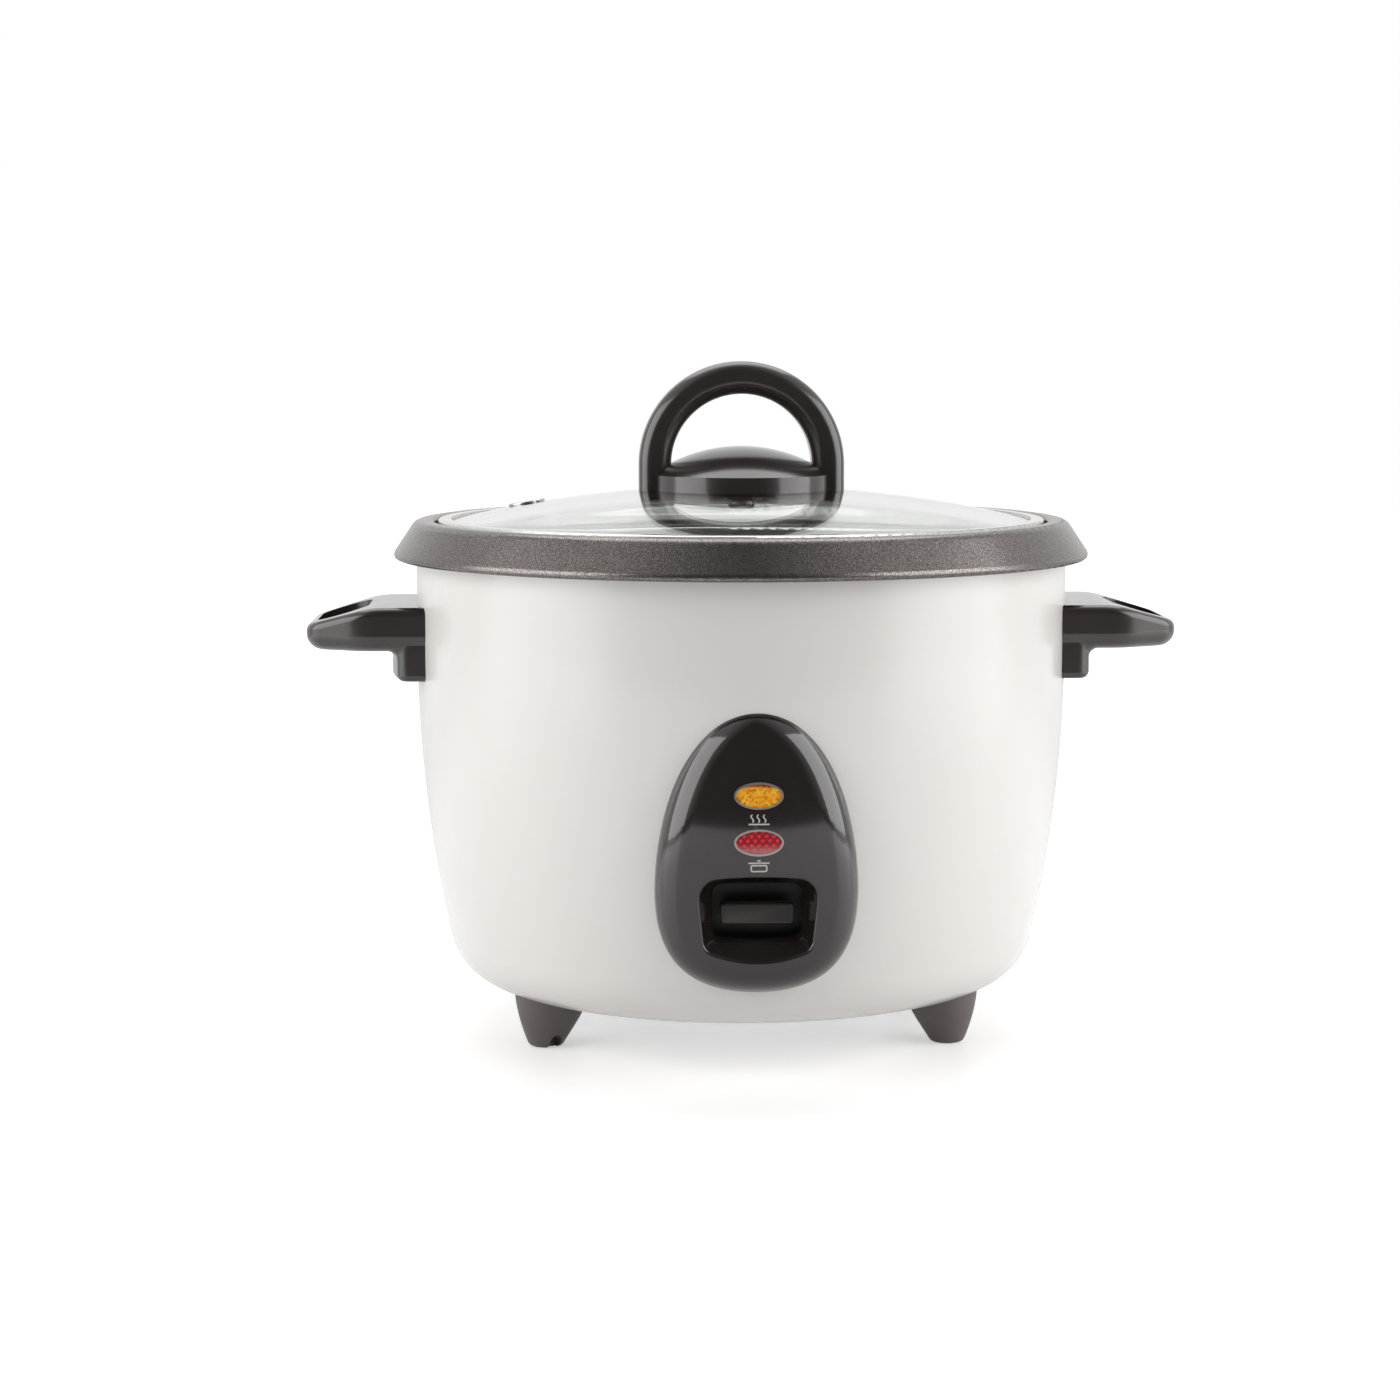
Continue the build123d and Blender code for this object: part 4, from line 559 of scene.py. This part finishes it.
covered_pot = [
    frame_of(POT_WIDTH, POT_HEIGHT, 0, under_red - POT_DROP, POT_CORNER),
    ink_line(LINE_WIDTH, 0, under_red + COVER_RISE),
    ink_line(GRIP_WIDTH, 0, under_red + GRIP_RISE),
]
print_mark("cook_mark", covered_pot, ink, "control_fascia", "cooker")


# ---- Lenses and bezels ----
# Two jewels moulded in clear coloured plastic, seated in the panel in front of the neon
# lamps, each in a thin chromed bezel. They are cut on the back, so they sparkle.

LENS_GLOSS = {"Roughness": 0.12, "Specular IOR Level": 0.35}


def blend_colours(tree, amount, first, second, way="MIX"):
    """First colour where amount is 0; where it is 1, the second or what the way makes of both."""
    mix = add_node(tree, "Mix", {"Factor": amount, 6: first, 7: second},
                   data_type="RGBA", blend_type=way)
    return mix.outputs[2]


def up_the_lens(tree, node):
    """0 at a lens's lowest point to 1 at its highest."""
    place = add_node(tree, "TexCoord").outputs["Object"]
    rise = add_node(tree, "SeparateXYZ", {"Vector": place}).outputs["Z"]
    lowest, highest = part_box(node)
    return spread(tree, rise, 0.0, 1.0, lowest[2], highest[2])


# the amber lens has irregular facets, each painted its own brightness, a painted sparkle, and its top
# lies in the bezel's shade, painted darker
AMBER_CELL = 0.0007
AMBER_SPARK = [(0.0, (0.62, 0.16, 0.0)), (0.35, (0.95, 0.34, 0.002)), (1.0, (1.0, 0.62, 0.06))]
AMBER_EDGE = [
    (0.0, (0.95, 0.62, 0.30)), (0.16, (1, 1, 1)), (0.80, (1, 1, 1)), (0.93, (0.45, 0.16, 0.08)),
]

amber, tree, shader = new_material("amber_jewel")
place = add_node(tree, "TexCoord").outputs["Object"]
facets = add_node(tree, "TexVoronoi", {"Vector": place, "Scale": 1 / AMBER_CELL})
facet_shade = add_node(tree, "SeparateColor", {"Color": facets.outputs["Color"]}).outputs["Red"]
# painted sparkle: each facet is painted brighter or darker
spark = ramp(tree, facet_shade, AMBER_SPARK)
edge = ramp(tree, up_the_lens(tree, "amber_lens"), AMBER_EDGE)
feed(tree, shader, {"Base Color": blend_colours(tree, 1.0, spark, edge, "MULTIPLY"), **LENS_GLOSS})
relief(tree, shader, facets.outputs["Distance"], 0.0002, 0.35)
dress("amber_lens", amber)

# the red lens has a diamond lattice, and its lower part is painted pale pink, a painted reflection of
# the light that comes back up from below
RED_PITCH = 0.0017
RED_SLANT = math.radians(38)
WAVE_TURN = 20  # radians that the wave texture turns in one unit
RED_CUT = [(0.0, (0.20, 0.001, 0.004)), (0.25, (0.60, 0.004, 0.016)), (1.0, (0.90, 0.02, 0.05))]
RED_REFLECTION = ((0.42, 0.13, 0.14), (0.56, 0.22, 0.22))
REFLECTION_SHARE = [(0.16, (0.85, 0.85, 0.85)), (0.42, (0, 0, 0))]

red, tree, shader = new_material("red_jewel")
rows = []
for slant in (-RED_SLANT, RED_SLANT):
    place = add_node(tree, "TexCoord").outputs["Object"]
    turned = add_node(tree, "Mapping", {"Vector": place, "Rotation": (0, slant, 0)})
    row = add_node(tree, "TexWave", {
        "Vector": turned.outputs["Vector"], "Scale": 2 * math.pi / (WAVE_TURN * RED_PITCH),
    })
    rows.append(row.outputs["Fac"])
lattice = work_out(tree, "MULTIPLY", *rows)
cut = ramp(tree, lattice, RED_CUT)
# painted reflection: pale pink painted over the lens's lower part
painted_reflection = two_tone(tree, noise(tree, 900, 3), *RED_REFLECTION)
low = ramp(tree, up_the_lens(tree, "red_lens"), REFLECTION_SHARE)
feed(tree, shader, {"Base Color": blend_colours(tree, low, cut, painted_reflection), **LENS_GLOSS})
relief(tree, shader, lattice, 0.00016, 0.35)
dress("red_lens", red)

chrome = metal("bezel_chrome", (0.42, 0.41, 0.40), 0.30, 200, 0.00001)
dress("lens_bezels", chrome)


# ---- Cook lever ----
# A satin dark paddle of plastic on a strap of blackened steel, with a dark leaf that
# covers the panel's slot. The paddle's sharp edges are painted paler, a painted highlight.

PADDLE_COLOUR = (0.021, 0.0195, 0.017)
EDGE_HIGHLIGHT_COLOUR = (0.13, 0.125, 0.12, 1)

paddle_plastic = plastic("paddle_plastic", PADDLE_COLOUR, 0.30, 900, 0.00003,
                         more={"Specular IOR Level": 0.3})
tree = paddle_plastic.node_tree
# painted highlight: the sharp edges, found by their pointiness, are painted paler
sharpness = add_node(tree, "NewGeometry").outputs["Pointiness"]
edge_highlight = two_tone(tree, sharpness, (0, 0, 0), (1, 1, 1), 0.51, 0.60)
body = tree.nodes["Principled BSDF"].inputs["Base Color"]
tree.links.new(blend_colours(tree, edge_highlight, body.links[0].from_socket, EDGE_HIGHLIGHT_COLOUR), body)
dress("lever_paddle", paddle_plastic)
dress("cook_lever", metal("black_oxide", (0.035, 0.034, 0.034), 0.5, 300, 0.00003))
dress("lever_shield", plastic("shield_plastic", (0.012, 0.011, 0.011), 0.5, 900, 0.00004))


# ---- Thermostat's magnet and spring ----
# Under the sensor's cap sit a grey ferrite and, on the lever, its magnet. The sensor's
# spring is wound from stainless wire; a copy of it with its doubles merged takes its place.

ferrite_grey = plastic("ferrite_grey", (0.07, 0.07, 0.08), 0.50, 700, 0.00006)
for name in ("ferrite", "magnet"):
    dress(name, ferrite_grey)

coil = copy_of("sensor_spring", "sensor_coil")
bpy.ops.object.mode_set(mode="OBJECT")
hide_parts("sensor_spring")
finish(coil, steel, "cooker")
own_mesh(coil)


# ---- Switch, lamps and inlet ----
# Black plastic housings hold the switch, the neon lamps and the brass pins of the inlet.
# The fuse and the terminal block are pale ceramic, and the keep-warm heater is a band
# of glass cloth around the reflector.

LAMP_DEEP = (0.95, 0.75, 0.6)
LAMP_PALE = (1.0, 0.85, 0.72)

black_plastic = plastic("black_plastic", (0.022, 0.022, 0.022), 0.45, 900, 0.00005)
for name in ("microswitch", "lamp_holder", "power_inlet"):
    dress(name, black_plastic)
ceramic = plastic("white_ceramic", (0.80, 0.78, 0.73), 0.60, 700, 0.00005, 0.95)
for name in ("thermal_fuse", "terminal_block"):
    dress(name, ceramic)
dress("keep_warm_heater", plastic("glass_cloth", (0.78, 0.75, 0.66), 0.80, 900, 0.00015, 0.9))
dress("inlet_pins", metal("pin_brass", (0.78, 0.60, 0.28), 0.25, 300, 0.00002))

lamp_glass, tree, shader = new_material("lamp_glass")
feed(tree, shader, {
    "Base Color": two_tone(tree, noise(tree, 200), LAMP_DEEP, LAMP_PALE),
    "Transmission Weight": 0.7,
    "Roughness": 0.1,
})
dress("neon_lamps", lamp_glass)


# ---- Inner pot ----
# A pot spun from thick aluminium sheet, which hangs in the top ring by its flange. Its
# wall keeps the fine rings of the polishing.

POT_DARK = (0.62, 0.615, 0.605)
POT_BRIGHT = (0.68, 0.675, 0.665)

spun, tree, shader = new_material("spun_aluminium")
rings = noise(tree, 1400, stretch=(0.02, 0.02, 1))
feed(tree, shader, {
    "Base Color": two_tone(tree, rings, POT_DARK, POT_BRIGHT),
    "Roughness": spread(tree, rings, 0.32, 0.38),
    "Metallic": 1.0,
})
relief(tree, shader, rings, 0.000008, 0.3)
dress("inner_pot", spun)


# ---- Water levels ----
# Five levels etched in grey on the rear of the pot's inner wall, each a plain number
# with a tick beside it.

LEVEL_COUNT = 5
LEVEL_LOWEST = 0.024
LEVEL_PITCH = 0.0135
TICK_LENGTH = 0.011
TICK_MIDDLE = 0.006
DIGIT_SIZE = 0.0055
DIGIT_END = -0.0015
POT_MIDDLE = 0.0

etched = metal("etched_mark", (0.30, 0.30, 0.30), 0.5, 900, 0.00001)
pot_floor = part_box("inner_pot")[0][2]
for level in range(1, LEVEL_COUNT + 1):
    height = pot_floor + LEVEL_LOWEST + level * LEVEL_PITCH
    tick = start_plane(TICK_LENGTH, INK_WIDTH, TICK_MIDDLE, height, surface=POT_MIDDLE)
    bpy.ops.mesh.subdivide(number_cuts=2)
    bpy.ops.object.mode_set(mode="OBJECT")
    bpy.ops.object.select_all(action="DESELECT")
    bpy.ops.object.text_add()
    digit = bpy.context.object
    digit.data.body = str(level)
    digit.data.size = DIGIT_SIZE
    digit.data.align_x = "RIGHT"
    digit.data.align_y = "CENTER"
    bpy.ops.object.convert(target="MESH")
    digit = bpy.context.object
    digit.rotation_euler = (math.radians(90), 0, 0)
    digit.location = (DIGIT_END, POT_MIDDLE - STAND_OFF, height)
    bpy.ops.object.transform_apply(location=True, rotation=True, scale=True)
    print_mark("level_mark_%d" % level, [tick, digit], etched, "inner_pot", "pot")


# ---- Lid ----
# A dome of clear toughened glass, faintly green, in a rolled stainless rim. A steel
# eyelet is riveted in its vent hole.

GLASS_DEEP = (0.915, 0.935, 0.920)
GLASS_PALE = (0.930, 0.945, 0.933)

glass, tree, shader = new_material("lid_glass")
feed(tree, shader, {
    "Base Color": two_tone(tree, noise(tree, 12), GLASS_DEEP, GLASS_PALE),
    "Transmission Weight": 1.0,
    "Roughness": 0.0,
    "IOR": 1.5,
})
dress("lid_glass", glass)
dress("lid_rim", steel)
dress("vent_eyelet", metal("eyelet_steel", (0.50, 0.49, 0.47), 0.24, 240, 0.00002))


# ---- Lid knob ----
# A dark phenolic arch on a domed base. One screw from inside the lid holds it, with a
# steel washer under the glass and a gasket of clear silicone above it.

dress("lid_knob", handle_phenolic)
dress("knob_gasket", plastic("clear_silicone", (0.62, 0.62, 0.60), 0.45, 500, 0.00005, 0.95))
dress("knob_washer", steel)
dress("knob_screw", steel)
